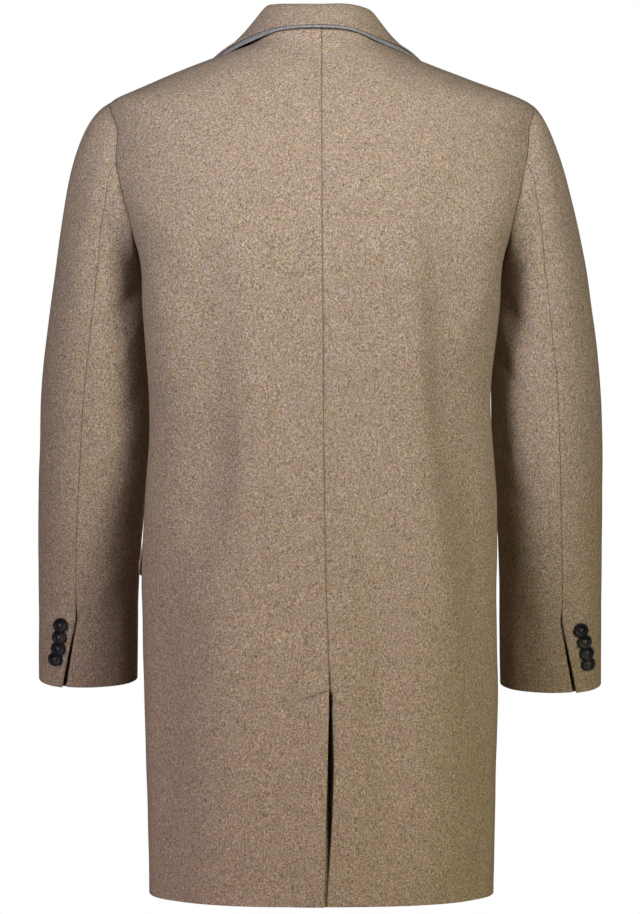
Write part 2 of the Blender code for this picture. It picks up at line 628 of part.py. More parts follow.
def build():
    """All the coat's pieces in one collection under one empty."""
    clear_scene()
    collection = bpy.data.collections.new("short_coat")
    bpy.context.scene.collection.children.link(collection)
    root = bpy.data.objects.new("short_coat", None)
    collection.objects.link(root)
    home = (collection, root)
    for side, word in ((1, "left"), (-1, "right")):
        sew("back_" + word, back_piece(side), WOOL, home)
        sew("front_" + word, front_piece(side), WOOL, home)
        sew("sleeve_top_" + word, sleeve_piece(side, True), WOOL, home)
        sew("sleeve_under_" + word, sleeve_piece(side, False), WOOL, home)
        sew("lapel_" + word, lapel_piece(side), WOOL, home)
        sew("pocket_flap_" + word, flap_piece(side), WOOL, home)
        cuff_buttons(side, home)
    sew("collar", collar_piece(True), WOOL, home)
    sew("undercollar", collar_piece(False), UNDERSIDE, home)
    front_buttons(home)


build()
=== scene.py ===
"""Looks of the short coat: its wool, seams, folds, felt, buttons and stitches, and a plain studio.

Metres, +Z up, +X to the wearer's left, +Y to the wearer's back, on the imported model's own frame. Each cut
piece is a closed wall of cloth on a fine grid. Its points come from torso, sleeve and collar surfaces like
those of the solids, with small folds, rolled seam edges and turned hems added. The photograph looks at the
back.
"""

import math
from functools import partial

import bpy
import numpy as np
from mathutils import Matrix, Vector


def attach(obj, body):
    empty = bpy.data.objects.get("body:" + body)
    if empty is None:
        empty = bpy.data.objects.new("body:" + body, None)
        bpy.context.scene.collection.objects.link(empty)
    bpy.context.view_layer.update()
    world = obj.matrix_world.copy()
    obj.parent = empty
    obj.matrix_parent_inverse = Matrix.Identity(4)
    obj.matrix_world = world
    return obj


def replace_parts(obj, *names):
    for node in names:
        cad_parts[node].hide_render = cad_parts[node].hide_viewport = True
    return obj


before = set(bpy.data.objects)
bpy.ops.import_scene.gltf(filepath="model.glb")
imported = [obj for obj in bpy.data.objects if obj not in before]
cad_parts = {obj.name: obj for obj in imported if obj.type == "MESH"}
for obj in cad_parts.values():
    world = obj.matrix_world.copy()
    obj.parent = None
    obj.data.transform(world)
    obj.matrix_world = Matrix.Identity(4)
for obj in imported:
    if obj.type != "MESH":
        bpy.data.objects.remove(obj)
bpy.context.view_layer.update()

SIDES = ((1, "left"), (-1, "right"))

# Cloth
CLOTH = 0.0020  # wall of the wool cloth
FELT = 0.0016  # wall of the undercollar felt
FELT_SHOWS = 0.042  # how far the felt passes the collar's edge, as a share of the collar's strip
SEAM = 0.0003  # gap between the collar's two layers
LAP = 0.0016  # half the step between two layers where one piece laps over another
HEM = -0.944  # back length, from the nape down
STEP = 0.0031  # distance between grid lines in the middle of a piece
SEAM_ROLL = 0.0010  # how far a sewn edge rolls under
CENTRE_ROLL = 0.0018  # and how far it does at the centre back seam
ARMHOLE_ROLL = 0.0006  # and how far it does at the pressed armhole seam
FOLD_ROLL = 0.00092  # roundness of a folded edge, on both of its faces
FELT_ROLL = 0.0006  # roundness of the felt's cut edges
SEWN_OUTSIDE = (FOLD_ROLL, FOLD_ROLL, SEAM_ROLL, FOLD_ROLL)  # rolls of a leaf sewn on at its third side
SEWN_INSIDE = (FOLD_ROLL, FOLD_ROLL, 0, FOLD_ROLL)

# Grids: distances of the close lines at a worked edge, and rough sizes of the pieces, to space the lines by
EDGE_STEPS = (0.00012, 0.0003, 0.0006, 0.0010, 0.0016, 0.0026)
EDGE = len(EDGE_STEPS)
BACK_WIDTH = 0.215
FRONT_WIDTH = 0.23
ARMHOLE_ROWS = 65
YOKE_LENGTH = 0.15
CAP_LENGTH = 0.16
ARM_LENGTH = 0.441
SLEEVE_WIDTH = 0.185
COLLAR_LENGTH = 0.50
COLLAR_STEP = 0.0018  # across the collar
STAND_WIDTH = 0.036
LEAF_WIDTH = 0.062
LEAF_STEP = 0.0024  # along the collar and the lapels
LAPEL_LENGTH = 0.27
LAPEL_WIDTH = 0.075
FLAP_LENGTH = 0.146
FLAP_STEP = 0.0020  # across the lapels, and on the flaps

# Rough radii that turn angles into metres, for lines on the cloth
BODY_ROUND = 0.15
VENT_ROUND = 0.145
SLEEVE_ROUND = 0.058
WAVE_ROUND = 0.2

# Gentle hand of the cloth
# Columns: radians to a metre across and up, shift, share of the height
WAVE_HEIGHT = 0.00010
WAVES = ((52, 17, 0.4, 1.0), (-37, 44, 2.1, 1.0), (83, 61, 1.3, 0.8), (71, -96, 4.0, 0.8))

# Armhole: an oval on the torso, seen from the side
ARMHOLE_MIDDLE = -0.166
ARMHOLE_RISE = 0.084
ARMHOLE_BACK = math.radians(30.2)
ARMHOLE_FRONT = math.radians(33)
ARMHOLE_LOW = 0.10  # how much deeper the curve is cut in its lower half
ARMHOLE_SQUARE = 0.115  # and how square it is
SHOULDER_TIP = ARMHOLE_MIDDLE + ARMHOLE_RISE
UNDERARM = ARMHOLE_MIDDLE - ARMHOLE_RISE
NECK_SIDE = -0.018
LEFT_TIP = 0.0026  # how much higher the left shoulder tip is
TIP_HALF = 0.010  # and half the height of that rise
BACK_SQUARE = 1.5  # how much squarer the upper back is, up to the sleeves
FLAT_TOP = (-0.16, -0.23)  # heights between which the squareness comes in, and goes out again on each side
FLAT_END_LEFT = (-0.47, -0.35)
FLAT_END_RIGHT = (-0.40, -0.27)

# Closing of the fronts: angles and heights between which the left one comes to lie on the right one
LAP_ANGLES = (math.radians(155), math.radians(168))
LAP_HEIGHTS = (-0.21, -0.27)

# Back vent
VENT_TOP = -0.714
VENT_SLANT = 0.020
VENT_UNDERLAP = math.radians(14)
VENT_SPREAD = 0.0035  # how far the left one's edge stands off half-way down
VENT_STITCH_END = (math.radians(12.7), -0.7308)  # low end of the slanted stitch line on the left back
VENT_SLOT = 0.0100  # depth of the hollow in the right back beside the left one's edge
VENT_GROOVE = 0.0016  # depth of the line that the stitches lie in
GROOVE_WIDTH = 0.0010
GROOVE_RISE = 0.0008  # how much higher than the vent's top the line starts
STITCH_PAST = 0.004  # how far the line goes past its first and last stitch
STITCHES = 14
STITCH_LENGTH = 0.0024
STITCH_THIN = 0.00042
VENT_FINE = (-0.019, 0.005, 0.0007)  # closer rows at the vent's top: from, to and step

# Collar and lapels
COLLAR_END = -0.0800
NECK_CLEAR = 0.0030
NOTCH_AT = 0.55
NOTCH_DROP = 0.018
RIGHT_LAPEL_END = 0.69
LEFT_LAPEL_END = 0.985
LAPEL_START = 0.012
LEAF_FROM = 0.36  # where the strip of a collar or lapel turns over, as a share of it
LAPEL_SEAM = 0.0012  # how far the lapel's seam lies past the front's edge
LAPEL_FOLD = (0.0080, 0.003, 0.0035)  # how far its fold lies past the edge, above the seam and off the cloth
LAPEL_OFF = 0.0045  # how far its outer edge is off the cloth
LAPEL_CLEAR = 0.0032  # and how far the rest is at least

# Sleeves
BICEP = -0.275
CUFF = -0.7165
BACK_SEAM = math.radians(80)  # round the arm: 0 is outward, 90 degrees is the back
FRONT_SEAM = math.radians(-100)
CUFF_VENT_TOP = -0.637
CUFF_VENT_TURN = math.radians(17)
CUFF_UNDERLAP = math.radians(28)
CUFF_SLOT = 0.0045  # depth of the hollow in the under piece beside the cuff vent's edge
SWING_LEFT = 0.0036  # how far out each forearm hangs
SWING_RIGHT = -0.0022
SWING_HEIGHTS = (-0.35, -0.56)
DROP_RIGHT = 0.006  # the right sleeve hangs lower
CAP_LEFT = 0.72  # fullness of the cap at the shoulder tip
CAP_RIGHT = 0.39
CAP_SIDES = 0.75
CAP_LEVEL_LEFT = 0.20  # and how level it leaves the tip
CAP_LEVEL_RIGHT = 0.05
CAP_LEVEL_UNDER = 0.47
SEAM_SHIFT = math.radians(11)  # how far the back seam lies further round the arm above the elbow
BACK_SEAM_ROLL = 0.0014
LEFT_SLIM = 0.0026  # the left forearm's outer side is slimmer
SLIM_HEIGHTS = (-0.38, -0.47)
LEFT_FULL = 0.0030  # and its inner side is fuller near the elbow
FULL_TOP = (-0.37, -0.44)
FULL_LOW = (-0.64, -0.54)

# Buttons
CUFF_BUTTON = 0.0162
FRONT_BUTTON = 0.0225
BUTTON_TILT = math.radians(16)
BUTTON_FACE = math.radians(18)
BUTTON_THICK = 0.17  # as a share of the diameter
BUTTON_HOLE = 0.17  # size of a hole as a share of the radius
HOLE_APART = 1.25  # place of a hole from the middle each way, as a share of its size
BUTTON_SINK = 0.0006  # how far a leaning cuff button sinks into the cloth
BUTTON_OFF = 0.0006  # how far a front button is off the cloth
FRONT_BUTTON_HEIGHTS = (-0.372, -0.487, -0.602)
# Columns: height, degrees round the left sleeve, degrees round the right one
CUFF_BUTTON_ROWS = ((-0.6450, 62.5, 59.0), (-0.6582, 61.0, 54.5), (-0.6713, 59.5, 51.5),
                    (-0.6837, 55.5, 49.5))
# Columns: number, share of the radius, share of the thickness
BUTTON_PROFILE = ((0, 0, 0), (1, 0.80, 0), (2, 0.97, 0.16), (3, 1.0, 0.42), (4, 0.985, 0.72), (5, 0.93, 0.94),
                  (6, 0.86, 1.0), (7, 0.76, 0.95), (8, 0.64, 0.76), (9, 0.50, 0.66), (10, 0.30, 0.63),
                  (11, 0, 0.62))
BUTTON_RIM = 5  # the row from which the profile faces up

# Pocket flaps
FLAP_REAR = math.radians(93)
FLAP_FRONT = math.radians(147)
FLAP_TOP = -0.5535
FLAP_FALL = 0.046
FLAP_ROUND = 0.18
FLAP_SHORT = 0.35  # how much shorter its corners are, as a share
FLAP_OFF = 0.0006  # how far its top is off the front
FLAP_STAND = 0.0022  # and how much more its lower edge is

# Rings of the torso, close to those of the solids
TORSO_COLUMNS = ("height", "half_width", "right_less", "back_depth", "front_depth", "middle", "squareness")
TORSO = (
    (-0.960, 0.1880, 0.000, 0.146, 0.140, 0.000, 2.30),
    (-0.870, 0.1895, 0.000, 0.146, 0.140, 0.000, 2.32),
    (-0.780, 0.1925, 0.001, 0.146, 0.140, 0.000, 2.35),
    (-0.640, 0.1960, 0.000, 0.145, 0.138, 0.000, 2.40),
    (-0.520, 0.1985, 0.001, 0.138, 0.134, 0.000, 2.45),
    (-0.410, 0.1910, 0.001, 0.130, 0.132, 0.000, 2.50),
    (-0.310, 0.1960, 0.000, 0.134, 0.138, 0.000, 2.50),
    (-0.250, 0.2000, 0.000, 0.137, 0.140, 0.000, 2.45),
    (-0.210, 0.2140, 0.000, 0.137, 0.138, -0.002, 2.40),
    (-0.160, 0.2380, 0.002, 0.133, 0.130, -0.004, 2.30),
    (-0.115, 0.2345, -0.004, 0.124, 0.118, -0.007, 2.20),
    (-0.081, 0.2290, 0.001, 0.111, 0.104, -0.010, 2.10),
    (-0.056, 0.1800, 0.016, 0.098, 0.092, -0.010, 2.05),
    (-0.028, 0.1090, 0.015, 0.080, 0.074, -0.010, 2.05),
    (-0.018, 0.0810, 0.006, 0.074, 0.068, -0.009, 2.05),
    (-0.008, 0.0750, 0.004, 0.067, 0.062, -0.006, 2.05),
    (0.006, 0.0700, 0.003, 0.057, 0.055, -0.003, 2.05),
)

# Soft folds down the body, as in the solids
# Columns: degrees at the top and at the low end, heights of both, half width in degrees, swell outward
FOLDS = (
    (30, 36, -0.17, -0.62, 9, -0.0045),
    (-35, -43, -0.17, -0.86, 9, -0.0050),
    (-16, -23, -0.44, -0.98, 8, -0.0045),
    (-29, -33, -0.46, -0.82, 6, 0.0025),
    (22, 24, -0.56, -0.98, 9, 0.0030),
    (11, 12, -0.74, -1.00, 5, -0.0025),
    (58, 52, -0.60, -1.00, 8, -0.0030),
    (-62, -58, -0.62, -1.00, 8, -0.0035),
    (128, 133, -0.24, -0.52, 10, -0.0035),
    (-131, -126, -0.26, -0.50, 10, -0.0035),
    (121, 126, -0.64, -1.00, 8, 0.0035),
    (-124, -120, -0.66, -1.00, 9, 0.0035),
    (100, 100, -0.140, -0.62, 21, -0.0140),
    (-100, -100, -0.165, -0.74, 21, -0.0140),
)

# Small creases laid on top of the folds, each along a line on the torso
# Columns: degrees and height of the first end and of the second one, half width, swell outward
CREASES = (
    (24, -0.200, 24.5, -0.520, 0.014, 0.0034),
    (38, -0.240, 40, -0.620, 0.034, -0.0084),
    (50, -0.360, 54, -0.860, 0.040, -0.0070),
    (-21.5, -0.165, -37, -0.510, 0.014, 0.0046),
    (-33, -0.440, -43, -0.700, 0.016, 0.0034),
    (-40, -0.490, -43, -0.800, 0.024, 0.0070),
    (-36.5, -0.160, -41, -0.360, 0.030, -0.0094),
    (-46, -0.260, -55, -0.620, 0.036, -0.0085),
    (-50, -0.400, -53, -0.780, 0.032, -0.0065),
    (-17, -0.590, -25, -0.900, 0.018, -0.0032),
    (32, -0.560, 33, -0.960, 0.040, 0.0045),
    (52, -0.215, 38, -0.300, 0.012, -0.0012),
    (57, -0.245, 44, -0.345, 0.011, 0.0010),
    (-53, -0.220, -40, -0.300, 0.012, -0.0012),
    (-57, -0.255, -45, -0.350, 0.011, 0.0011),
    (7, -0.812, 1, -0.809, 0.006, -0.0007),
    (16, -0.340, 6, -0.352, 0.016, -0.0006),
    (-8, -0.402, -20, -0.392, 0.016, -0.0007),
    (20, -0.520, 33, -0.505, 0.018, 0.0007),
    (-24, -0.600, -38, -0.585, 0.018, -0.0007),
    (30, -0.700, 44, -0.720, 0.018, -0.0007),
    (-10, -0.760, -22, -0.775, 0.016, 0.0006),
    (118, -0.205, 138, -0.280, 0.012, -0.0012),
    (-119, -0.215, -137, -0.290, 0.012, -0.0012),
    (122, -0.255, 143, -0.345, 0.012, 0.0010),
    (-124, -0.260, -141, -0.335, 0.012, 0.0010),
    (150, -0.395, 172, -0.378, 0.011, -0.0011),
    (148, -0.430, 171, -0.395, 0.012, 0.0009),
    (-152, -0.410, -170, -0.385, 0.012, -0.0010),
    (152, -0.640, 168, -0.660, 0.018, -0.0008),
    (-148, -0.680, -166, -0.700, 0.018, 0.0008),
)

# The skirt hangs a little turned to the right
TWIST_COLUMNS = ("height", "degrees")
TWIST = ((-0.960, -0.75), (-0.860, -1.45), (-0.780, -2.0), (-0.714, -2.35), (-0.600, -1.35), (-0.500, -0.85),
         (-0.380, -0.62), (-0.200, -0.15), (0.010, 0.0))

# Edge of the left front: straight down the closing, then up the roll of the lapel to the neck
FRONT_EDGE_COLUMNS = ("height", "sideways")
FRONT_EDGE = ((-0.960, -0.0220), (-0.600, -0.0220), (-0.345, -0.0220), (-0.250, 0.0170), (-0.160, 0.0490),
              (-0.090, 0.0660), (-0.042, 0.0730), (-0.026, 0.0765), (-0.018, 0.0800))

# Rings of the left sleeve below the armhole
SLEEVE_COLUMNS = ("height", "across", "along", "half_width", "half_depth", "pitch")
SLEEVE = (
    (-0.760, 0.2603, -0.112, 0.0561, 0.0450, 0.19),
    (-0.716, 0.2593, -0.100, 0.0566, 0.0465, 0.19),
    (-0.650, 0.2579, -0.082, 0.0568, 0.0500, 0.18),
    (-0.560, 0.2560, -0.058, 0.0574, 0.0550, 0.15),
    (-0.450, 0.2500, -0.034, 0.0612, 0.0620, 0.09),
    (-0.360, 0.2460, -0.020, 0.0590, 0.0660, 0.04),
    (-0.275, 0.2425, -0.014, 0.0510, 0.0690, 0.00),
)

# Creases of the sleeves, in places down the sleeve of 1 at the bicep and 2 at the cuff
# Columns: side, degrees round the arm and place down it at the first end and at the second, half width, swell
SLEEVE_CREASES = (
    (1, 128, 0.95, 134, 1.55, 0.030, 0.0060),
    (-1, 128, 0.95, 128, 1.45, 0.028, -0.0020),
    (1, 165, 0.75, 95, 1.12, 0.009, -0.0022),
    (1, 170, 0.95, 100, 1.24, 0.009, 0.0017),
    (1, 180, 1.12, 112, 1.36, 0.010, -0.0016),
    (1, 60, 1.30, 120, 1.38, 0.013, 0.0010),
    (1, 150, 1.40, 88, 1.52, 0.012, -0.0013),
    (1, -60, 1.34, -110, 1.28, 0.010, -0.0020),
    (1, -50, 1.44, -115, 1.40, 0.010, -0.0022),
    (1, -65, 1.54, -120, 1.52, 0.011, -0.0017),
    (1, 20, 1.62, 70, 1.70, 0.014, -0.0010),
    (1, 130, 1.70, 92, 1.80, 0.013, 0.0010),
    (-1, 168, 0.80, 98, 1.16, 0.010, -0.0020),
    (-1, 172, 1.02, 105, 1.27, 0.009, 0.0016),
    (-1, 175, 1.14, 118, 1.25, 0.008, -0.0020),
    (-1, 70, 1.22, 115, 1.36, 0.013, -0.0009),
    (-1, 155, 1.46, 95, 1.58, 0.012, -0.0013),
    (-1, -58, 1.31, -112, 1.26, 0.010, -0.0021),
    (-1, -52, 1.42, -110, 1.39, 0.010, -0.0020),
    (-1, -66, 1.52, -118, 1.50, 0.011, -0.0018),
    (-1, 30, 1.58, 75, 1.66, 0.014, -0.0009),
    (-1, 125, 1.74, 90, 1.84, 0.013, 0.0009),
)

# Collar from the centre back round to its front end, read by collar_lines
# Columns: station, degrees of the seam round the neck, rise to the fold, lean of the fold and its degrees,
# degrees and height of the edge, its distance off the cloth, how much lower the right fold and edge are
COLLAR = (
    (0.00, 0, 0.0180, 0.012, 0, 0, -0.0065, 0.0072, 0.0000, 0.0000),
    (0.14, 26, 0.0220, 0.013, 22, 24, -0.0062, 0.0058, 0.0000, 0.0016),
    (0.28, 55, 0.0318, 0.016, 50, 52, -0.0088, 0.0045, 0.0036, 0.0074),
    (0.45, 90, 0.0390, 0.020, 84, 90, -0.0268, 0.0040, 0.0080, 0.0021),
    (0.60, 110, 0.0310, 0.016, 80, 127, -0.0530, 0.0058, 0.0050, 0.0000),
    (0.80, 136, 0.0130, 0.012, 64, 140, -0.0680, 0.0075, 0.0000, 0.0000),
    (1.00, 172, 0.0030, 0.012, 58, 150, -0.0920, 0.0070, 0.0000, 0.0000),
)

# Left lapel from the collar down to the break: height of its fold and its outer corner on the front
LAPEL_COLUMNS = ("station", "height", "edge_sideways", "edge_height")
LAPEL = (
    (0.00, -0.0820, 0.1210, -0.0960),
    (0.25, -0.1350, 0.1080, -0.1600),
    (0.50, -0.2050, 0.0740, -0.2240),
    (0.75, -0.2750, 0.0330, -0.2860),
    (1.00, -0.3430, -0.0150, -0.3440),
)

# What shows of each cut piece, laid flat
# Columns: piece, width, length, area, the piece that it rests on
SHEETS = (
    ("back_left", 0.300, 0.960, 0.250, "front_left"),
    ("back_right", 0.310, 0.960, 0.255, "front_right"),
    ("front_left", 0.310, 0.940, 0.247, "back_left"),
    ("front_right", 0.310, 0.940, 0.250, "back_right"),
    ("sleeve_top_left", 0.220, 0.650, 0.113, "back_left"),
    ("sleeve_top_right", 0.220, 0.650, 0.113, "back_right"),
    ("sleeve_under_left", 0.190, 0.580, 0.092, "back_left"),
    ("sleeve_under_right", 0.190, 0.580, 0.092, "back_right"),
    ("lapel_left", 0.095, 0.290, 0.0157, "front_left"),
    ("lapel_right", 0.095, 0.215, 0.0123, "front_right"),
    ("pocket_flap_left", 0.146, 0.047, 0.0066, "front_left"),
    ("pocket_flap_right", 0.146, 0.047, 0.0066, "front_right"),
    ("collar", 0.560, 0.098, 0.044, "back_left"),
    ("undercollar", 0.560, 0.101, 0.043, "back_left"),
)

# Studio
CAMERA_PLACE = (0.0016, 4.0, -0.4685)
PICTURE_FOCAL = 3653  # focal length and half height of the picture, in its rows
PICTURE_HALF = 457
WORLD_GLOW = 0.012
WHITE = (1.0, 1.0, 1.0, 1.0)
FLOOR_REACH = 2.6
FLOOR_HEIGHT = -1.55
FLOOR_RINGS = 14
FLOOR_TURNS = 96
# Columns: name, place, aim, size, spread in degrees, watts, tint
LIGHTS = (
    ("left_key", (1.50, 2.06, 0.36), (-0.28, 0.1, 0.27), 0.9, 52, 8.15, (0.98, 0.965, 1.0)),
    ("right_key", (-1.50, 2.06, 0.32), (0.28, 0.1, 0.27), 0.9, 52, 8.0, (1.0, 0.99, 0.88)),
    ("left_low", (1.70, 1.55, -0.85), (0.06, 0.0, -1.0), 0.7, 43, 2.2, (1.0, 0.85, 0.86)),
    ("right_low", (-1.70, 1.55, -0.80), (-0.08, 0.0, -0.96), 0.7, 43, 2.15, (1.0, 0.93, 0.60)),
    ("front_soft", (-0.22, -3.0, 0.05), (0.0, 0.0, -0.45), 1.1, 60, 9.0, (1.0, 0.97, 0.93)),
)


# Numbers and tables


def spline(keys, values, at):
    """Smooth line through table rows: cubic pieces whose slopes come from the rows on each side."""
    keys = np.asarray(keys, float)
    values = np.asarray(values, float)
    slopes = np.gradient(values, keys, axis=0)
    at = np.clip(np.asarray(at, float), keys[0], keys[-1])
    row = np.clip(np.searchsorted(keys, at) - 1, 0, len(keys) - 2)
    step = keys[row + 1] - keys[row]
    share = (at - keys[row]) / step
    if values.ndim > 1:
        step, share = step[..., None], share[..., None]
    rise = values[row + 1] - values[row]
    start = slopes[row] * step
    end = slopes[row + 1] * step
    square = 3 * rise - 2 * start - end
    cube = start + end - 2 * rise
    return values[row] + share * (start + share * (square + share * cube))


def read(table, columns, name, at):
    """One named column of a table, read smoothly along the table's first column."""
    place = columns.index(name)
    return spline([row[0] for row in table], [row[place] for row in table], at)


def read_all(table, columns, at):
    """Every column of a table after the first one, read in the same way."""
    return [read(table, columns, name, at) for name in columns[1:]]


def ease(low, high, value):
    """Rises smoothly from 0 at low to 1 at high; low may be the greater of the two."""
    share = np.clip((value - low) / (high - low), 0, 1)
    return share * share * (3 - 2 * share)


def unit(vectors):
    """Vectors of length one along the last axis."""
    return vectors / np.maximum(np.linalg.norm(vectors, axis=-1, keepdims=True), 1e-12)


def join(x, y, z):
    """One array of points from three arrays that stretch to a common shape."""
    return np.stack(np.broadcast_arrays(x, y, z), axis=-1).astype(float)


def stations(length, step=STEP, first=True, last=True):
    """Shares from 0 to 1 down a length: even steps, and a few close ones at an end with a worked edge."""
    close = np.array(EDGE_STEPS) / length
    low = close[-1] if first else 0
    high = 1 - close[-1] if last else 1
    middle = np.linspace(low, high, max(2, round((high - low) * length / step)) + 1)
    ends = ([0.0], close[:-1]) if first else ()
    rest = (1 - close[-2::-1], [1.0]) if last else ()
    return np.concatenate((*ends, middle, *rest))


def closer(shares, fine, past):
    """Shares whose even steps after the first edge give way to other ones, to a little past their end."""
    return np.concatenate((shares[:EDGE], fine, shares[shares > fine[-1] + past]))


def along_line(u, v, start, end, half_width):
    """Soft band along a line: a bell curve of the distance from it, fading out at the line's two ends."""
    run = np.subtract(end, start)
    length = np.hypot(*run)
    share = ((u - start[0]) * run[0] + (v - start[1]) * run[1]) / length ** 2
    aside = ((v - start[1]) * run[0] - (u - start[0]) * run[1]) / length
    fade = ease(-0.15, 0.35, share) * ease(1.15, 0.65, share)
    return fade * np.exp(-((aside / half_width) ** 2))


def unevenness(u, v):
    """Gentle hand of the cloth: four crossing waves of 50 to 120 mm, together at most 0.4 mm high."""
    waves = (share * np.sin(across * u + up * v + shift) for across, up, shift, share in WAVES)
    return WAVE_HEIGHT * sum(waves)


def bridge(start, end, leave, arrive, share):
    """Cubic curve from a start to an end, with the directions in which it leaves and arrives."""
    return (start * (1 + share * share * (2 * share - 3)) + end * share * share * (3 - 2 * share)
            + leave * share * (1 - share) ** 2 + arrive * share * share * (share - 1))


def grid_out(surface, first, second, flip, small=1e-4):
    """Unit normals of a surface of two parameters: across its two small steps."""
    one = surface(first + small, second) - surface(first - small, second)
    two = surface(first, second + small) - surface(first, second - small)
    return flip * unit(np.cross(one, two))


# Torso


def swell_at(angle, height):
    """Soft folds of the body, in metres outward: bell-shaped ridges and troughs, plus the small creases."""
    total = np.zeros(np.broadcast(angle, height).shape)
    turned = np.degrees(angle)
    for top_angle, low_angle, top, low, half_angle, swell in FOLDS:
        share = np.clip((top - height) / (top - low), 0, 1)
        middle = top_angle + (low_angle - top_angle) * share
        away = (turned - middle + 180) % 360 - 180
        run = ease(0, 0.25, share) * ease(1, 0.75, share)
        total = total + swell * run * np.exp(-((away / half_angle) ** 2))
    across = np.radians((turned + 180) % 360 - 180) * BODY_ROUND
    for angle_1, height_1, angle_2, height_2, half_width, swell in CREASES:
        start = (math.radians(angle_1) * BODY_ROUND, height_1)
        end = (math.radians(angle_2) * BODY_ROUND, height_2)
        total = total + swell * along_line(across, height, start, end, half_width)
    return total + unevenness(np.sin(angle) * WAVE_ROUND, height) * ease(-0.03, -0.10, height)


def torso(angle, height):
    """Outer surface of the body: rounded-box rings up the wearer, turned by the twist, plus the folds."""
    angle = angle + np.radians(read(TWIST, TWIST_COLUMNS, "degrees", height))
    rings = read_all(TORSO, TORSO_COLUMNS, height)
    half_width, right_less, back_depth, front_depth, middle, squareness = rings
    across, along = np.sin(angle), np.cos(angle)
    half_width = half_width - right_less * ease(0, -0.8, across)
    flat_end = np.where(across > 0, ease(*FLAT_END_LEFT, height), ease(*FLAT_END_RIGHT, height))
    flat = ease(0, 0.3, along) * ease(*FLAT_TOP, height) * flat_end
    squareness = squareness + BACK_SQUARE * flat
    reach = (np.abs(across) ** squareness + np.abs(along) ** squareness) ** (-1 / squareness)
    depth = np.where(along > 0, back_depth, front_depth)
    swell = swell_at(angle, height)
    x = half_width * reach * across + swell * across
    y = middle + depth * reach * along + swell * along
    tip = LEFT_TIP * np.exp(-(((height - SHOULDER_TIP) / TIP_HALF) ** 2)) * ease(0.45, 0.95, across)
    return join(x, y, height + tip)


def torso_out(angle, height):
    """Outward direction of the torso surface."""
    return grid_out(torso, angle, height, -1)


def front_angle(sideways, height):
    """Angle on the torso of a point at this sideways place on the front, past 180 degrees to the right."""
    half_width = read(TORSO, TORSO_COLUMNS, "half_width", height)
    squareness = read(TORSO, TORSO_COLUMNS, "squareness", height)
    share = np.minimum(np.abs(sideways) / half_width, 0.999) ** squareness
    return math.pi - np.sign(sideways) * np.arctan((share / (1 - share)) ** (1 / squareness))


def front_edge_angle(height):
    """Angle of the left front's free edge."""
    return front_angle(read(FRONT_EDGE, FRONT_EDGE_COLUMNS, "sideways", height), height)


def front_lift(side, angle, height):
    """The left front passes outside the right one near the centre."""
    return side * LAP * ease(*LAP_ANGLES, angle) * ease(*LAP_HEIGHTS, height)


def on_front(side, sideways, height, off):
    """Point on the front, moved off the cloth; sideways counts from the centre to the side."""
    angle = front_angle(sideways, height)
    lift = np.asarray(front_lift(side, angle, height) + off)
    return torso(side * angle, height) + torso_out(side * angle, height) * lift[..., None]


# Walls of cloth


def edge_distances(points):
    """Distances along the cloth from a grid's first and last row and first and last column: running sums."""
    down = np.linalg.norm(np.diff(points, axis=0), axis=-1)
    across = np.linalg.norm(np.diff(points, axis=1), axis=-1)
    from_first = np.concatenate((np.zeros_like(down[:1]), np.cumsum(down, axis=0)))
    from_left = np.concatenate((np.zeros_like(across[:, :1]), np.cumsum(across, axis=1)), axis=1)
    return from_first, from_first[-1:] - from_first, from_left, from_left[:, -1:] - from_left


def roll(distance, radius):
    """Drop of a rounded edge: a quarter circle of that radius, none beyond it."""
    radius = np.maximum(radius, 1e-9)
    inside = np.clip(radius - distance, 0, radius)
    return radius - np.sqrt(radius ** 2 - inside ** 2)


def walls(outer, out, thick, outside, inside):
    """Outer and inner grids of a piece of cloth, and its distances from the edges. Each of the four sides
    rolls off by its own radius on each face."""
    far = edge_distances(outer)
    drop = np.max([roll(distance, radius) for distance, radius in zip(far, outside)], axis=0)
    rise = np.max([roll(distance, radius) for distance, radius in zip(far, inside)], axis=0)
    return outer - out * drop[..., None], outer - out * (thick - rise)[..., None], far


# Body pieces


def body_rows():
    """Heights of a body piece's rows from hem to neck, and how far each has turned round the armhole."""
    skirt = HEM + (UNDERARM - HEM) * stations(UNDERARM - HEM, last=False)[:-1]
    low, high, step = VENT_FINE
    fine = np.arange(VENT_TOP + low, VENT_TOP + high, step)
    apart = (skirt < fine[0] - 0.001) | (skirt > fine[-1] + 0.001)
    skirt = np.sort(np.concatenate((skirt[apart], fine)))
    turn = np.linspace(0, math.pi, ARMHOLE_ROWS)
    scye = ARMHOLE_MIDDLE - ARMHOLE_RISE * np.cos(turn)
    yoke = (SHOULDER_TIP + (NECK_SIDE - SHOULDER_TIP) * stations(YOKE_LENGTH, first=False))[1:]
    heights = np.concatenate((skirt, scye, yoke))
    turns = np.concatenate((np.zeros_like(skirt), turn, np.full_like(yoke, math.pi)))
    return heights, turns


def vent_down(height):
    """Share of the way down the vent, 0 at its top and above it."""
    return np.clip((VENT_TOP - height) / (VENT_TOP - HEM), 0, 1)


def vent_lift(side, angle, height):
    """Step between the backs near the vent. The left edge stands off like a sine, most half-way down."""
    vent = ease(VENT_TOP + 0.030, VENT_TOP + 0.006, height)
    near = ease(math.radians(26), math.radians(8), np.abs(angle))
    spread = VENT_SPREAD * np.sin(math.pi * vent_down(height) ** 0.8)
    spread = spread * ease(math.radians(18), 0, np.abs(angle))
    return side * vent * near * (LAP + spread * (side > 0))


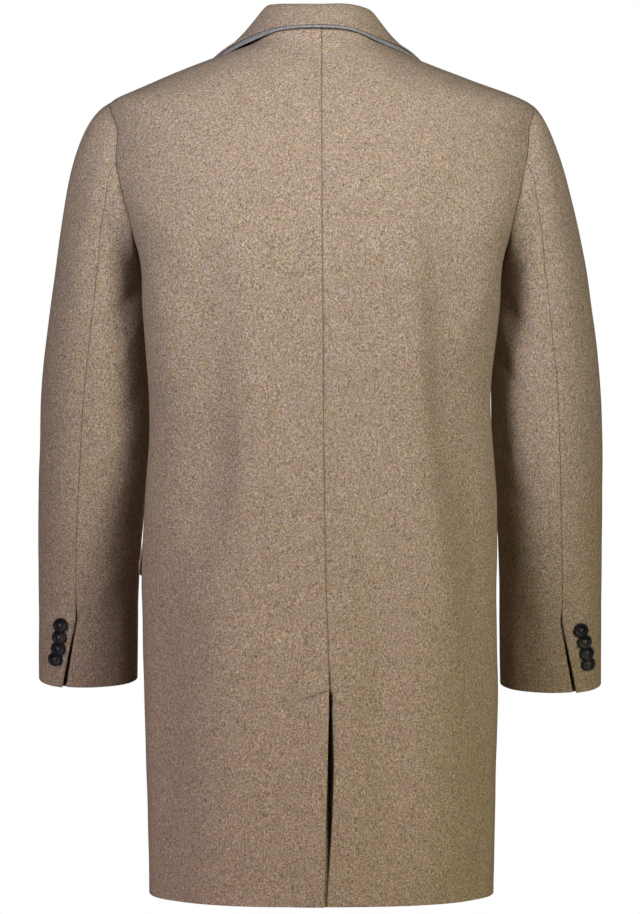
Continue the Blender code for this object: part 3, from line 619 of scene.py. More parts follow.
def back_lift(side, angle, height):
    """Height of a back off the torso: the step at the vent, less a narrow hollow in the right one beside the
    left one's edge, or a fine groove in the left one along the slanted stitch line."""
    lift = vent_lift(side, angle, height)
    if side < 0:
        down = vent_down(height)
        wide = np.radians(0.9 + 1.2 * ease(0.02, 0.40, down) - 1.0 * ease(0.55, 1, down))
        slot = ease(wide, 0.5 * wide, angle) * ease(math.radians(-11), math.radians(-3), angle)
        return lift - VENT_SLOT * slot * ease(-0.01, 0.07, down) * (1 - 0.9 * ease(0.35, 0.95, down))
    end_angle, end_height = VENT_STITCH_END
    start = (-STITCH_PAST, VENT_TOP + GROOVE_RISE)
    end = (end_angle * VENT_ROUND + STITCH_PAST, end_height)
    return lift - VENT_GROOVE * along_line(angle * VENT_ROUND, height, start, end, GROOVE_WIDTH)


def back_columns(side):
    """Shares across half of the back, closest in the right one where the left one's edge lies at the vent."""
    across = stations(BACK_WIDTH)
    fine = np.arange(across[EDGE], 0.18, 0.0034)
    if side < 0:
        fine = np.concatenate((np.arange(across[EDGE], 0.086, 0.0050), np.arange(0.086, 0.118, 0.0011),
                               np.arange(0.119, 0.18, 0.0050)))
    return closer(across, fine, 0.004)


def back_piece(side):
    """Half of the back; the left one laps over the right one below the top of the vent. A grid of height by
    angle on the torso."""
    heights, turns = body_rows()
    inner_edge = np.zeros_like(heights)
    if side < 0:
        inner_edge = inner_edge - VENT_UNDERLAP * ease(VENT_TOP - 0.004, VENT_TOP - VENT_SLANT, heights)
    outer_edge = armhole_angle(math.pi - turns)
    across = back_columns(side)
    angle = (inner_edge[:, None] * (1 - across) ** 5 + math.pi / 2 * across
             + (outer_edge - math.pi / 2)[:, None] * across ** 3)
    yoke_share = np.clip((heights - SHOULDER_TIP) / (NECK_SIDE - SHOULDER_TIP), 0, 1)
    rise = -NECK_SIDE * np.cos(np.clip(angle, 0, math.pi / 2)) ** 2
    height = heights[:, None] + yoke_share[:, None] * (rise + 0.0024)
    out = torso_out(side * angle, height)
    outer = torso(side * angle, height) + out * back_lift(side, angle, height)[..., None]
    open_edge = ease(VENT_TOP + 0.002, VENT_TOP - 0.006, heights)[:, None] * FOLD_ROLL
    centre = CENTRE_ROLL + (SEAM_ROLL - CENTRE_ROLL) * ease(VENT_TOP + 0.030, VENT_TOP, heights)[:, None]
    outside = (FOLD_ROLL, SEAM_ROLL, centre, ARMHOLE_ROLL)
    return walls(outer, out, CLOTH, outside, (FOLD_ROLL, 0, open_edge, 0))


def front_piece(side):
    """Half of the front; the left one laps over the right one. A grid of height by angle on the torso."""
    heights, turns = body_rows()
    inner_edge = front_edge_angle(heights)
    outer_edge = armhole_angle(turns - math.pi)
    across = stations(FRONT_WIDTH)
    angle = (math.pi / 2 + (inner_edge - math.pi / 2)[:, None] * across
             + (outer_edge - math.pi / 2)[:, None] * (1 - across) ** 3)
    height = np.broadcast_to(heights[:, None], angle.shape)
    out = torso_out(side * angle, height)
    outer = torso(side * angle, height) + out * front_lift(side, angle, height)[..., None]
    outside = (FOLD_ROLL, SEAM_ROLL, ARMHOLE_ROLL, FOLD_ROLL)
    return walls(outer, out, CLOTH, outside, (FOLD_ROLL, 0, 0, FOLD_ROLL))


# Sleeves


def armhole_angle(turn):
    """Angle on the torso of the armhole seam, an oval cut deeper low down; turn is 0 at the shoulder tip and
    90 degrees at the back."""
    reach = np.where(np.sin(turn) > 0, ARMHOLE_BACK, ARMHOLE_FRONT)
    wave = np.sin(turn) - ARMHOLE_LOW * np.sin(2 * turn) + ARMHOLE_SQUARE * np.sin(3 * turn)
    return math.pi / 2 - reach * wave


def armhole(side, turn):
    """Points of the armhole seam on the torso."""
    return torso(side * armhole_angle(turn), ARMHOLE_MIDDLE + ARMHOLE_RISE * np.cos(turn))


def sleeve_ring(side, turn, height):
    """Ring of the sleeve below the armhole: an ellipse whose plane leans with the forearm."""
    across, along, half_width, half_depth, pitch = read_all(SLEEVE, SLEEVE_COLUMNS, height)
    across = across + (SWING_LEFT if side > 0 else SWING_RIGHT) * ease(*SWING_HEIGHTS, height)
    back = half_depth * np.sin(turn)
    drop = 0 if side > 0 else DROP_RIGHT
    slim = LEFT_SLIM * (side > 0) * ease(*SLIM_HEIGHTS, height) * np.clip(np.cos(turn), 0, 1)
    full = LEFT_FULL * (side > 0) * ease(*FULL_TOP, height) * ease(*FULL_LOW, height)
    full = full * np.clip(-np.cos(turn), 0, 1)
    x = side * (across + half_width * np.cos(turn) - slim - full)
    return join(x, along + back, height - pitch * back - drop)


def sleeve(side, turn, down):
    """Sleeve surface: down runs 0 to 1 over the cap, a cubic bridge from the armhole to the bicep, and 1 to 2
    down the rings to the cuff."""
    turn, down = np.broadcast_arrays(turn, down)
    top = armhole(side, turn)
    low = sleeve_ring(side, turn, np.full(turn.shape, BICEP))
    length = np.linalg.norm(low - top, axis=-1, keepdims=True)
    level = np.sin(turn) ** 2
    full = CAP_LEFT if side > 0 else CAP_RIGHT
    full = CAP_SIDES + (full - CAP_SIDES) * np.clip(np.cos(turn), 0, 1) ** 2
    tilt = np.where(np.cos(turn) > 0, CAP_LEVEL_LEFT if side > 0 else CAP_LEVEL_RIGHT, CAP_LEVEL_UNDER)
    leave = unit(join(side * (0.45 + 0.35 * np.cos(turn) + 0.25 * level),
                      0.40 * np.sin(turn) * ease(-0.9, 0, np.cos(turn)),
                      -0.55 + tilt * np.cos(turn) ** 3)) * length * full[..., None]
    arrive = unit(sleeve_ring(side, turn, np.full(turn.shape, BICEP - 0.01)) - low) * length
    cap = bridge(top, low, leave, arrive, np.clip(down, 0, 1)[..., None])
    arm = sleeve_ring(side, turn, BICEP + (CUFF - BICEP) * np.clip(down - 1, 0, 1.1))
    return np.where(down[..., None] < 1, cap, arm)


def sleeve_out(side, turn, down):
    """Outward direction of the sleeve surface, away from the arm."""
    return grid_out(partial(sleeve, side), turn, down, -side, 1e-3)


def sleeve_run(side, turn, down):
    """Metres down the sleeve from the bicep, above it the share of the cap's own length at that turn."""
    low = sleeve_ring(side, turn, np.full(np.shape(turn), BICEP))
    cap = np.linalg.norm(low - armhole(side, turn), axis=-1)
    return (BICEP - CUFF) * np.clip(down - 1, 0, None) - cap * (1 - np.clip(down, 0, 1))


def sleeve_swell(side, turn, down):
    """Creases of a sleeve, in metres outward: bands along lines on the arm, none at the armhole or cuff."""
    around = (turn + math.pi) % math.tau - math.pi
    run = sleeve_run(side, turn, down)
    total = unevenness(WAVE_ROUND * np.sin(turn), run + side)
    for which, turn_1, down_1, turn_2, down_2, half_width, swell in SLEEVE_CREASES:
        if which == side:
            turns = np.radians((turn_1, turn_2))
            start, end = zip(turns * SLEEVE_ROUND, sleeve_run(side, turns, np.array((down_1, down_2))))
            here = along_line(around * SLEEVE_ROUND, run, start, end, half_width)
            past = along_line((around + math.tau) * SLEEVE_ROUND, run, start, end, half_width)
            total = total + swell * np.maximum(here, past)
    return total * ease(0, 0.25, down) * ease(2, 1.9, down)


def sleeve_piece(side, top_piece):
    """Outer or inner half of a sleeve; the outer half laps over the inner one at the cuff's vent. A grid of
    place down the sleeve by turn round the arm."""
    cap = stations(CAP_LENGTH, last=False)
    arm = 1 + stations(ARM_LENGTH, first=False)[1:]
    down = np.concatenate((cap, arm))
    level = BICEP + (CUFF - BICEP) * np.clip(down - 1, 0, 1)
    vent = ease(CUFF_VENT_TOP + 0.020, CUFF_VENT_TOP + 0.002, level)
    underlap = ease(CUFF_VENT_TOP - 0.005, CUFF_VENT_TOP - 0.022, level)
    open_share = np.clip((CUFF_VENT_TOP - level) / (CUFF_VENT_TOP - CUFF), 0, 1)
    opened = CUFF_VENT_TURN * open_share[:, None]
    share = stations(SLEEVE_WIDTH)
    shift = (SEAM_SHIFT * ease(0, 0.4, down) * ease(1.35, 0.85, down))[:, None]
    if top_piece:
        turn = FRONT_SEAM + (math.pi + shift - opened) * share
    else:
        share = closer(share, np.arange(share[EDGE], 0.17, 0.0048), 0.005)
        turn = BACK_SEAM + math.pi * share + shift * (1 - share)
        turn = turn - CUFF_UNDERLAP * underlap[:, None] * (1 - share) ** 3
    down = np.broadcast_to(down[:, None], turn.shape)
    near = ease(math.radians(70), math.radians(30), np.abs(turn - BACK_SEAM))
    lift = (1 if top_piece else -1) * LAP * near * vent[:, None] + sleeve_swell(side, turn, down)
    if not top_piece:
        past = turn - BACK_SEAM + opened
        wide = math.radians(1.4) + math.radians(3.0) * open_share[:, None]
        slot = ease(wide, 0.3 * wide, past) * ease(math.radians(-20), math.radians(-8), past)
        deep = ease(0.02, 0.55, open_share) * (1 - 0.6 * ease(0.93, 1, open_share))
        lift = lift - CUFF_SLOT * slot * deep[:, None]
    out = sleeve_out(side, turn, down)
    outer = sleeve(side, turn, down) + out * lift[..., None]
    open_edge = ease(CUFF_VENT_TOP + 0.004, CUFF_VENT_TOP - 0.004, level)[:, None] * FOLD_ROLL
    seam = ease(CUFF_VENT_TOP + 0.020, CUFF_VENT_TOP, level)[:, None]
    back_roll = BACK_SEAM_ROLL + (SEAM_ROLL - BACK_SEAM_ROLL) * seam
    if top_piece:
        outside, inside = (SEAM_ROLL, back_roll), (0, open_edge)
    else:
        outside, inside = (back_roll, SEAM_ROLL), (open_edge, 0)
    return walls(outer, out, CLOTH, (ARMHOLE_ROLL, FOLD_ROLL, *outside), (0, FOLD_ROLL, *inside))


# Collar, lapels and flaps


def turnover(seam, fold, edge, share, bend, flare=0.0):
    """Strip that rises from a seam, turns over at a fold and comes down to an edge: two cubic pieces joined
    at the fold, where both run level outward; share runs 0 to 1."""
    share = share[..., None]
    turn = unit((edge - seam) * np.array((1.0, 1.0, 0.0))) * bend
    rise = np.clip(share / LEAF_FROM, 0, 1)
    fall = np.clip((share - LEAF_FROM) / (1 - LEAF_FROM), 0, None)
    up = bridge(seam, fold, fold - seam, turn, rise)
    arrive = (edge - fold) * join(1 + 0.25 * flare, 1 + 0.25 * flare, 1 - 0.42 * flare)
    down = bridge(fold, edge, turn * 1.6, arrive, np.minimum(fall, 1))
    down = down + (edge - fold) * np.maximum(fall - 1, 0)
    return np.where(share < LEAF_FROM, up, down)


def neck_seam(side, turn):
    """Middle of the cloth along the neck edges; turn is degrees round the back, then on down the front."""
    corner = np.degrees(front_edge_angle(NECK_SIDE))
    last = COLLAR[-1][1]
    past = np.clip((turn - corner) / (last - corner), 0, 1)
    height = NECK_SIDE * np.sin(np.radians(np.minimum(turn, 90))) ** 2 + (COLLAR_END - NECK_SIDE) * past
    angle = np.where(turn < corner, np.radians(turn), front_edge_angle(np.minimum(height, NECK_SIDE))) * side
    small = 1e-3
    up = unit(torso(angle, height + small) - torso(angle, height - small))
    on = unit(torso(angle + side * small, height) - torso(angle - side * small, height))
    beyond = ease(corner - 12, corner + 12, turn)[..., None]
    away = unit(up * (1 - beyond) + on * beyond)
    return torso(angle, height) - torso_out(angle, height) * CLOTH / 2 + away * NECK_CLEAR


def collar_lines(side):
    """Seam, fold and edge of one half of the collar at the table's stations."""
    columns = np.array(COLLAR).T[1:]
    seam_turn, stand, lean, lean_turn, edge_angle, edge_height, stand_off, right_fold, right_edge = columns
    if side < 0:
        stand = stand - right_fold
        edge_height = edge_height - right_edge
    seam = neck_seam(side, seam_turn)
    inward = np.radians(lean_turn)
    fold = seam + join(-side * lean * np.sin(inward), -lean * np.cos(inward), stand)
    edge_angle = np.radians(edge_angle) * side
    edge = torso(edge_angle, edge_height) + torso_out(edge_angle, edge_height) * stand_off[:, None]
    return seam, fold, edge


def collar(station, share):
    """Middle surface of the collar; station runs -1 to 1 from the right front end to the left one."""
    station, share = np.broadcast_arrays(station, share)
    keys = np.array([row[0] for row in COLLAR])
    keys = np.concatenate((-keys[:0:-1], keys))
    seam, fold, edge = (
        spline(keys, np.concatenate((right[:0:-1], left)), station)
        for right, left in zip(collar_lines(-1), collar_lines(1)))
    stand = np.linalg.norm(fold - seam, axis=-1, keepdims=True)
    flare = ease(0.18, 0.40, np.abs(station))
    return turnover(seam, fold, edge, share, np.minimum(0.85 * stand, 0.014), flare)


def collar_piece(top_piece):
    """Wool collar outside the middle surface, or the felt one under it, which shows past the edge."""
    stand = stations(STAND_WIDTH, COLLAR_STEP, last=False) * LEAF_FROM
    fall = LEAF_FROM + (1 - LEAF_FROM) * stations(LEAF_WIDTH, COLLAR_STEP, first=False)[1:]
    station = 0.992 * (2 * stations(COLLAR_LENGTH, LEAF_STEP) - 1)
    station, share = np.meshgrid(station, np.concatenate((stand, fall)), indexing="ij")
    if not top_piece:
        reach = FELT_SHOWS * (1 + 0.8 * ease(0.18, 0.34, np.abs(station))) * ease(0.50, 0.42, np.abs(station))
        reach = reach * (1 + 0.4 * ease(0.16, 0.30, station))
        share = share + reach * ease(0.82, 1, share)
    out = grid_out(collar, station, np.minimum(share, 0.999), 1)
    middle = collar(station, share)
    gap = out * (SEAM * (1 + 2 * ease(0.65, 0.85, np.abs(station))))[..., None]
    if top_piece:
        return walls(middle + gap + out * CLOTH, out, CLOTH, SEWN_OUTSIDE, SEWN_INSIDE)
    return walls(middle - gap, out, FELT, (FELT_ROLL,) * 4, (FELT_ROLL,) * 4)


def lapel(side, station, share):
    """Middle surface of a lapel; station runs 0 to 1 from the collar to the break."""
    station, share = np.broadcast_arrays(station, share)
    height, edge_sideways, edge_height = read_all(LAPEL, LAPEL_COLUMNS, station)
    sideways = read(FRONT_EDGE, FRONT_EDGE_COLUMNS, "sideways", height)
    past, above, off = LAPEL_FOLD
    seam = on_front(side, sideways - LAPEL_SEAM, height, -CLOTH / 2)
    fold = on_front(side, sideways - past, height + above, off)
    edge = on_front(side, edge_sideways, edge_height, LAPEL_OFF)
    strip = turnover(seam, fold, edge, share, 0.006)
    leaf = np.clip((share - NOTCH_AT) / (1 - NOTCH_AT), 0, 1)
    strip[..., 2] = strip[..., 2] - NOTCH_DROP * leaf * (1 - np.clip(station / 0.5, 0, 1)) ** 2
    floor = on_front(side, strip[..., 0] * side, strip[..., 2], LAPEL_CLEAR)
    strip[..., 1] = np.where(share > LEAF_FROM, np.minimum(strip[..., 1], floor[..., 1]), strip[..., 1])
    return strip


def lapel_piece(side):
    """A lapel as a wall on both sides of its middle surface."""
    low = LEFT_LAPEL_END if side > 0 else RIGHT_LAPEL_END
    station = LAPEL_START + (low - LAPEL_START) * stations(LAPEL_LENGTH * low, LEAF_STEP)
    station, share = np.meshgrid(station, stations(LAPEL_WIDTH, FLAP_STEP), indexing="ij")
    surface = partial(lapel, side)
    out = grid_out(surface, station, share, side)
    return walls(surface(station, share) + out * CLOTH / 2, out, CLOTH, (FOLD_ROLL,) * 4, (FOLD_ROLL,) * 4)


def flap_piece(side):
    """Pocket flap laid on the front, hanging a little clear of it at its lower edge; a grid of angle by fall,
    whose fall shortens round each lower corner like a quarter circle."""
    across, down = (stations(length, FLAP_STEP) for length in (FLAP_LENGTH, FLAP_FALL))
    across, down = np.meshgrid(across, down, indexing="ij")
    corner = np.clip(1 - np.minimum(across, 1 - across) / FLAP_ROUND, 0, 1)
    fall = FLAP_FALL * (1 - FLAP_SHORT * (1 - np.sqrt(1 - corner ** 2)))
    angle = FLAP_REAR + (FLAP_FRONT - FLAP_REAR) * across
    height = FLAP_TOP - fall * down
    out = torso_out(side * angle, height)
    outer = torso(side * angle, height) + out * (CLOTH + FLAP_OFF + FLAP_STAND * down)[..., None]
    return walls(outer, out, CLOTH, SEWN_OUTSIDE, SEWN_INSIDE)


# Buttons and stitches


def set_down(points, centre, out, lean=None):
    """Points of a shape about its own axis, turned to face out and moved to their place."""
    turn = Vector(out).to_track_quat("Z", "Y").to_matrix()
    if lean is not None:
        turn = lean @ turn
    return points @ np.array(turn).T + np.asarray(centre)


def button_surface(diameter):
    """Button turned about its own axis: a profile of radius and height carried round a circle, with a raised
    rim, a dished middle and four wells where the thread goes through."""
    radius = diameter / 2
    thick = BUTTON_THICK * diameter
    rows = np.array(BUTTON_PROFILE)
    at = np.concatenate((np.linspace(0, 1, 4), np.linspace(1, 11, 49)[1:]))
    profile = spline(rows[:, 0], rows[:, 1:], at)
    turn = np.linspace(0, math.tau, 65)[:-1]
    away = np.clip(profile[:, 0], 0, 1)[:, None] * radius
    x = away * np.cos(turn)
    y = away * np.sin(turn)
    hole = BUTTON_HOLE * radius
    apart = hole * HOLE_APART
    near = np.min([np.hypot(x - i * apart, y - j * apart) for i in (-1, 1) for j in (-1, 1)], axis=0)
    top = (at > BUTTON_RIM)[:, None]
    z = profile[:, 1][:, None] * thick - top * 0.45 * thick * ease(hole * 0.95, hole * 0.55, near)
    return join(x, y, z)


def thread_tubes(diameter):
    """Four threads that bridge the holes of a button in a cross: thin tubes bowed up like half a sine."""
    radius = diameter / 2
    apart = BUTTON_HOLE * radius * HOLE_APART
    thick = BUTTON_THICK * diameter
    along = np.linspace(-1, 1, 13)[:, None]
    turn = np.linspace(0, math.tau, 9)[:-1]
    thin = 0.028 * radius
    up = np.array((0.0, 0.0, 1.0))
    tubes = []
    for way, shift in ((1, 0.03), (1, -0.03), (-1, 0.03), (-1, -0.03)):
        path = join(along * apart * 1.05 + shift * radius * way, along * apart * 1.05 * way - shift * radius,
                    thick * (0.42 + 0.36 * np.cos(along * math.pi / 2) + 0.03 * way))
        aside = unit(np.array((-way, 1.0, 0.0))) * way
        tubes.append(path + thin * (np.cos(turn)[None, :, None] * aside + np.sin(turn)[None, :, None] * up))
    return tubes


def stitch_beads(centres, runs, outs, length, thin):
    """Stitches as small stretched balls: a grid of latitude by turn, stretched along each one's run."""
    tilt = np.linspace(0, math.pi, 9)[1:-1]
    turn = np.linspace(0, math.tau, 9)[:-1]
    sides = np.cross(outs, runs)
    ring = np.sin(tilt)[:, None] * thin
    beads = []
    for centre, run, side, out in zip(centres, runs, sides, outs):
        long = (np.cos(tilt)[:, None, None] * length / 2) * run
        beads.append(centre + long + (ring * np.cos(turn))[..., None] * side
                     + (ring * np.sin(turn))[..., None] * out)
    return beads


# Meshes


def grid_faces(rows, columns, closed):
    """Quads of a grid of points, joined round its columns where it is closed."""
    index = np.arange(rows * columns).reshape(rows, columns)
    if closed:
        index = np.concatenate((index, index[:, :1]), axis=1)
    return np.stack((index[:-1, :-1], index[:-1, 1:], index[1:, 1:], index[1:, :-1]), axis=-1).reshape(-1, 4)


def outward(points, faces):
    """Faces turned so that the shape's volume counts as positive."""
    corners = points[faces]
    across = np.cross(corners[:, 2] - corners[:, 0], corners[:, 3] - corners[:, 1])
    middle = corners.mean(axis=1) - points.mean(axis=0)
    return faces[:, ::-1] if np.sum(across * middle) < 0 else faces


def make(name, points, faces, finish, uv=None):
    """Object at the origin from points and quads, smooth, with one finish, riding on the coat."""
    mesh = bpy.data.meshes.new(name)
    mesh.vertices.add(len(points))
    mesh.vertices.foreach_set("co", np.ascontiguousarray(points, np.float32).ravel())
    mesh.loops.add(faces.size)
    mesh.loops.foreach_set("vertex_index", np.ascontiguousarray(faces, np.int32).ravel())
    mesh.polygons.add(len(faces))
    mesh.polygons.foreach_set("loop_start", np.arange(0, faces.size, faces.shape[1], dtype=np.int32))
    mesh.update(calc_edges=True)
    mesh.polygons.foreach_set("use_smooth", np.ones(len(faces), bool))
    if uv is not None:
        layer = mesh.uv_layers.new(name="cloth")
        layer.data.foreach_set("uv", np.ascontiguousarray(uv[faces.ravel()], np.float32).ravel())
    mesh.materials.append(finish)
    mesh.validate()
    thing = bpy.data.objects.new(name, mesh)
    bpy.context.scene.collection.objects.link(thing)
    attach(thing, "root")
    return thing


def sew(node, layers, finish):
    """Closed wall between two grids of points: both faces and the four narrow sides between them."""
    outer, inner, far = layers
    rows, columns = outer.shape[:2]
    points = np.concatenate((outer.reshape(-1, 3), inner.reshape(-1, 3)))
    index = np.arange(rows * columns).reshape(rows, columns)
    under = index + rows * columns
    quads = grid_faces(rows, columns, False)
    faces = [quads, quads[:, ::-1] + rows * columns]
    for line, other in ((index[0], under[0]), (under[-1], index[-1]), (under[:, 0], index[:, 0]),
                        (index[:, -1], under[:, -1])):
        faces.append(np.stack((line[1:], line[:-1], other[:-1], other[1:]), axis=-1))
    faces = outward(points, np.concatenate(faces))
    uv = np.stack((far[2], far[0]), axis=-1).reshape(-1, 2)
    thing = make(node + "_cloth", points, faces, finish, np.concatenate((uv, uv)))
    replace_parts(thing, node)
    return thing


def shell(name, surfaces, finish):
    """Closed tubes or turned shapes joined into one object: grids closed round their columns, and capped."""
    points, faces, count = [], [], 0
    for surface in surfaces:
        rows, columns = surface.shape[:2]
        both = np.concatenate((surface.reshape(-1, 3), surface[[0, -1]].mean(axis=1)))
        ring = np.arange(columns)
        on = np.roll(ring, -1)
        last = (rows - 1) * columns
        first_tip = np.full(columns, rows * columns)
        last_tip = first_tip + 1
        first_cap = np.stack((on, ring, first_tip, first_tip), axis=-1)
        last_cap = np.stack((ring + last, on + last, last_tip, last_tip), axis=-1)
        quads = outward(both, np.concatenate((grid_faces(rows, columns, True), first_cap, last_cap)))
        points.append(both)
        faces.append(quads + count)
        count += len(both)
    thing = make(name, np.concatenate(points), np.concatenate(faces), finish)
    return thing


# Finishes


class Value:
    """A socket in a sum: + - * / and powers with numbers or other sockets add Math nodes to its tree."""

    def __init__(self, tree, socket):
        self.tree = tree
        self.socket = socket

    def math(self, operation, first, second=0.0):
        return self.tree.node("Math", {"operation": operation}, {0: first, 1: second})

    def __add__(self, other):
        return self.math("ADD", self, other)

    def __sub__(self, other):
        return self.math("SUBTRACT", self, other)

    def __rsub__(self, other):
        return self.math("SUBTRACT", other, self)

    def __mul__(self, other):
        return self.math("MULTIPLY", self, other)

    def __truediv__(self, other):
        return self.math("DIVIDE", self, other)

    def __pow__(self, other):
        return self.math("POWER", self, other)

    __radd__ = __add__
    __rmul__ = __mul__

    def between(self, low, high):
        """0 below low, 1 above high, smooth between."""
        return self.tree.node("MapRange", {"interpolation_type": "SMOOTHSTEP"}, {0: self, 1: low, 2: high})


class Finish:
    """A material under construction. node() adds any node: settings, then values or links of sockets."""

    def __init__(self, name, sockets):
        self.material = bpy.data.materials.new(name)
        self.material.use_nodes = True
        self.nodes = self.material.node_tree.nodes
        self.shader = self.nodes["Principled BSDF"]
        for socket, value in sockets.items():
            self.set(self.shader, socket, value)
        self.coords = self.node("TexCoord", {}, {}, "Object")

    def set(self, node, socket, value):
        if isinstance(value, Value):
            self.material.node_tree.links.new(value.socket, node.inputs[socket])
        else:
            node.inputs[socket].default_value = value

    def node(self, kind, settings, inputs, output=0):
        made = self.nodes.new("ShaderNode" + kind)
        for name, value in settings.items():
            if name == "stops":
                ramp = made.color_ramp.elements
                while len(ramp) < len(value):
                    ramp.new(1.0)
                for element, (place, colour) in zip(ramp, value):
                    element.position = place
                    element.color = (*colour, 1.0)
            else:
                setattr(made, name, value)
        for socket, value in inputs.items():
            self.set(made, socket, value)
        return Value(self, made.outputs[output])

    def place(self, scale=(1, 1, 1), turn=(0, 0, 0), shift=(0, 0, 0)):
        """Object coordinates, shifted, turned and stretched."""
        return self.node("Mapping", {}, {"Vector": self.coords, "Location": shift, "Rotation": turn,
                                         "Scale": scale})

    def noise(self, scale, detail=2.0, rough=0.5, at=None):
        """Cloudy noise from 0 to 1 with that many features to a metre."""
        return self.node("TexNoise", {}, {"Vector": at or self.coords, "Scale": scale, "Detail": detail,
                                          "Roughness": rough}, "Fac")

    def mix(self, share, first, second, kind="MIX"):
        """Two colours mixed by a share."""
        return self.node("Mix", {"data_type": "RGBA", "blend_type": kind}, {0: share, 6: first, 7: second}, 2)

    def ramp(self, share, *stops):
        """Colours at places along a share, mixed between them."""
        return self.node("ValToRGB", {"stops": stops}, {0: share})

    def bump(self, height, strength, distance):
        """Normals bent by a height."""
        return self.node("Bump", {}, {"Strength": strength, "Distance": distance, "Height": height})

    def done(self, **links):
        """Links into the shader, by socket name with _ for a space."""
        for socket, value in links.items():
            self.set(self.shader, socket.replace("_", " "), value)
        return self.material


def colour(red, green, blue):
    """Colour with its alpha, from linear parts."""
    return (red, green, blue, 1.0)


def wool():
    """Milled wool of mixed fibres: brown ground, reddish, olive, cream and dark fibres in short strokes."""
    look = Finish("wool_melange", {"Sheen Weight": 0.02, "Sheen Roughness": 0.5,
                                   "Sheen Tint": colour(0.85, 0.76, 0.66), "Specular IOR Level": 0.15})
    strokes = [look.place((1.0, 1.0, 0.34), (0.0, math.radians(lean), 0.0), (0.1 * lean, 0.3, 0.7))
               for lean in (50, -46, 88)]
    grain = look.noise(560, 2.0, 0.55)
    light_hairs = look.noise(760, 1.0, 0.5, strokes[0]).between(0.60, 0.74)
    dark_hairs = look.noise(700, 1.0, 0.5, strokes[1]).between(0.60, 0.74)
    red_hairs = look.noise(560, 1.0, 0.5, strokes[2]).between(0.56, 0.72)
    olive_hairs = look.noise(590, 1.0, 0.5, look.place(shift=(3.0, 5.0, 2.0))).between(0.55, 0.72)
    cloud = look.noise(46, 3.0, 0.6)
    ground = look.ramp(grain, (0.26, (0.108, 0.077, 0.057)), (0.50, (0.281, 0.213, 0.164)),
                       (0.76, (0.492, 0.402, 0.330)))
    tone = look.mix(red_hairs * 0.55, ground, colour(0.330, 0.200, 0.158))
    tone = look.mix(olive_hairs * 0.55, tone, colour(0.275, 0.242, 0.140))
    tone = look.mix(light_hairs * 0.44, tone, colour(0.600, 0.520, 0.440))
    tone = look.mix(dark_hairs * 0.65, tone, colour(0.080, 0.058, 0.046))
    warm = look.noise(190, 2.0, 0.5, look.place(shift=(7.0, 1.0, 4.0))).between(0.32, 0.68)
    grey = look.noise(165, 1.0, 0.5, look.place(shift=(2.0, 9.0, 6.0))).between(0.32, 0.68)
    warmth = look.mix(warm, colour(0.973, 1.012, 1.0), colour(1.027, 0.988, 1.0))
    tone = look.mix(1.0, tone, warmth, "MULTIPLY")
    greyness = look.mix(grey, colour(1.0, 1.0, 0.92), colour(1.0, 1.0, 1.08))
    tone = look.mix(1.0, tone, greyness, "MULTIPLY")
    shade = look.ramp(cloud, (0.3, (0.92, 0.92, 0.92)), (0.7, (1.0, 1.0, 1.0)))
    tone = look.mix(1.0, tone, shade, "MULTIPLY")
    nap = grain * 0.7 + light_hairs * 0.35 - dark_hairs * 0.3 + look.noise(1500, 1.0) * 0.3
    return look.done(Base_Color=tone, Roughness=0.90 + 0.10 * grain, Normal=look.bump(nap, 0.55, 0.0006))


def felt():
    """Pressed grey felt of the undercollar: matted fibres with a blue cast."""
    look = Finish("undercollar_felt", {"Sheen Weight": 0.15, "Sheen Roughness": 0.5,
                                       "Specular IOR Level": 0.2})
    grain = look.noise(700, 3.0, 0.6)
    hairs = look.noise(900, 1.0, 0.5, look.place(scale=(0.3, 1.0, 1.0))).between(0.55, 0.75)
    tone = look.ramp(grain, (0.34, (0.075, 0.073, 0.078)), (0.68, (0.330, 0.330, 0.352)))
    tone = look.mix(hairs * 0.4, tone, colour(0.44, 0.44, 0.48))
    nap = grain + hairs * 0.4
    return look.done(Base_Color=tone, Roughness=0.88 + 0.12 * grain, Normal=look.bump(nap, 0.5, 0.0005))


def horn():
    """Polished dark horn of the buttons: near black with blue-grey and brown streaks."""
    look = Finish("button_horn", {"Specular IOR Level": 0.14, "Coat Roughness": 0.25})
    streak = look.noise(160, 4.0, 0.6, look.place(scale=(1.0, 1.0, 0.35), turn=(0.3, 0.6, 0.0)))
    vein = look.noise(420, 3.0, 0.6, look.place(scale=(1.0, 1.0, 0.25), turn=(0.3, 0.6, 0.0)))
    tone = look.ramp(streak, (0.30, (0.003, 0.003, 0.006)), (0.52, (0.005, 0.006, 0.011)),
                     (0.72, (0.024, 0.026, 0.036)))
    tone = look.mix(vein.between(0.60, 0.80) * 0.5, tone, colour(0.11, 0.085, 0.06))
    return look.done(Base_Color=tone, Roughness=0.36 + 0.22 * streak, Coat_Weight=0.11 - 0.09 * vein,
                     Normal=look.bump(vein, 0.12, 0.0002))


def thread(name, dark, light):
    """Sewing thread: two tones in close twisted bands."""
    look = Finish(name, {"Specular IOR Level": 0.3})
    twist = look.noise(2200, 1.0, 0.5, look.place(scale=(1.0, 1.0, 0.4), turn=(0.5, 0.7, 0.2)))
    tone = look.mix(twist, colour(*dark), colour(*light))
    return look.done(Base_Color=tone, Roughness=0.6 + 0.2 * twist, Normal=look.bump(twist, 0.4, 0.0001))


def floor_paint():
    """Plain studio floor with a faint unevenness. It glows, so that it looks pale in any view."""
    look = Finish("floor_paint", {"Emission Color": WHITE, "Emission Strength": 0.62})
    cloud = look.noise(3, 2.0)
    tone = look.mix(cloud, colour(0.78, 0.78, 0.78), colour(0.82, 0.82, 0.82))
    return look.done(Base_Color=tone, Roughness=0.7 + 0.1 * cloud)


# Coat


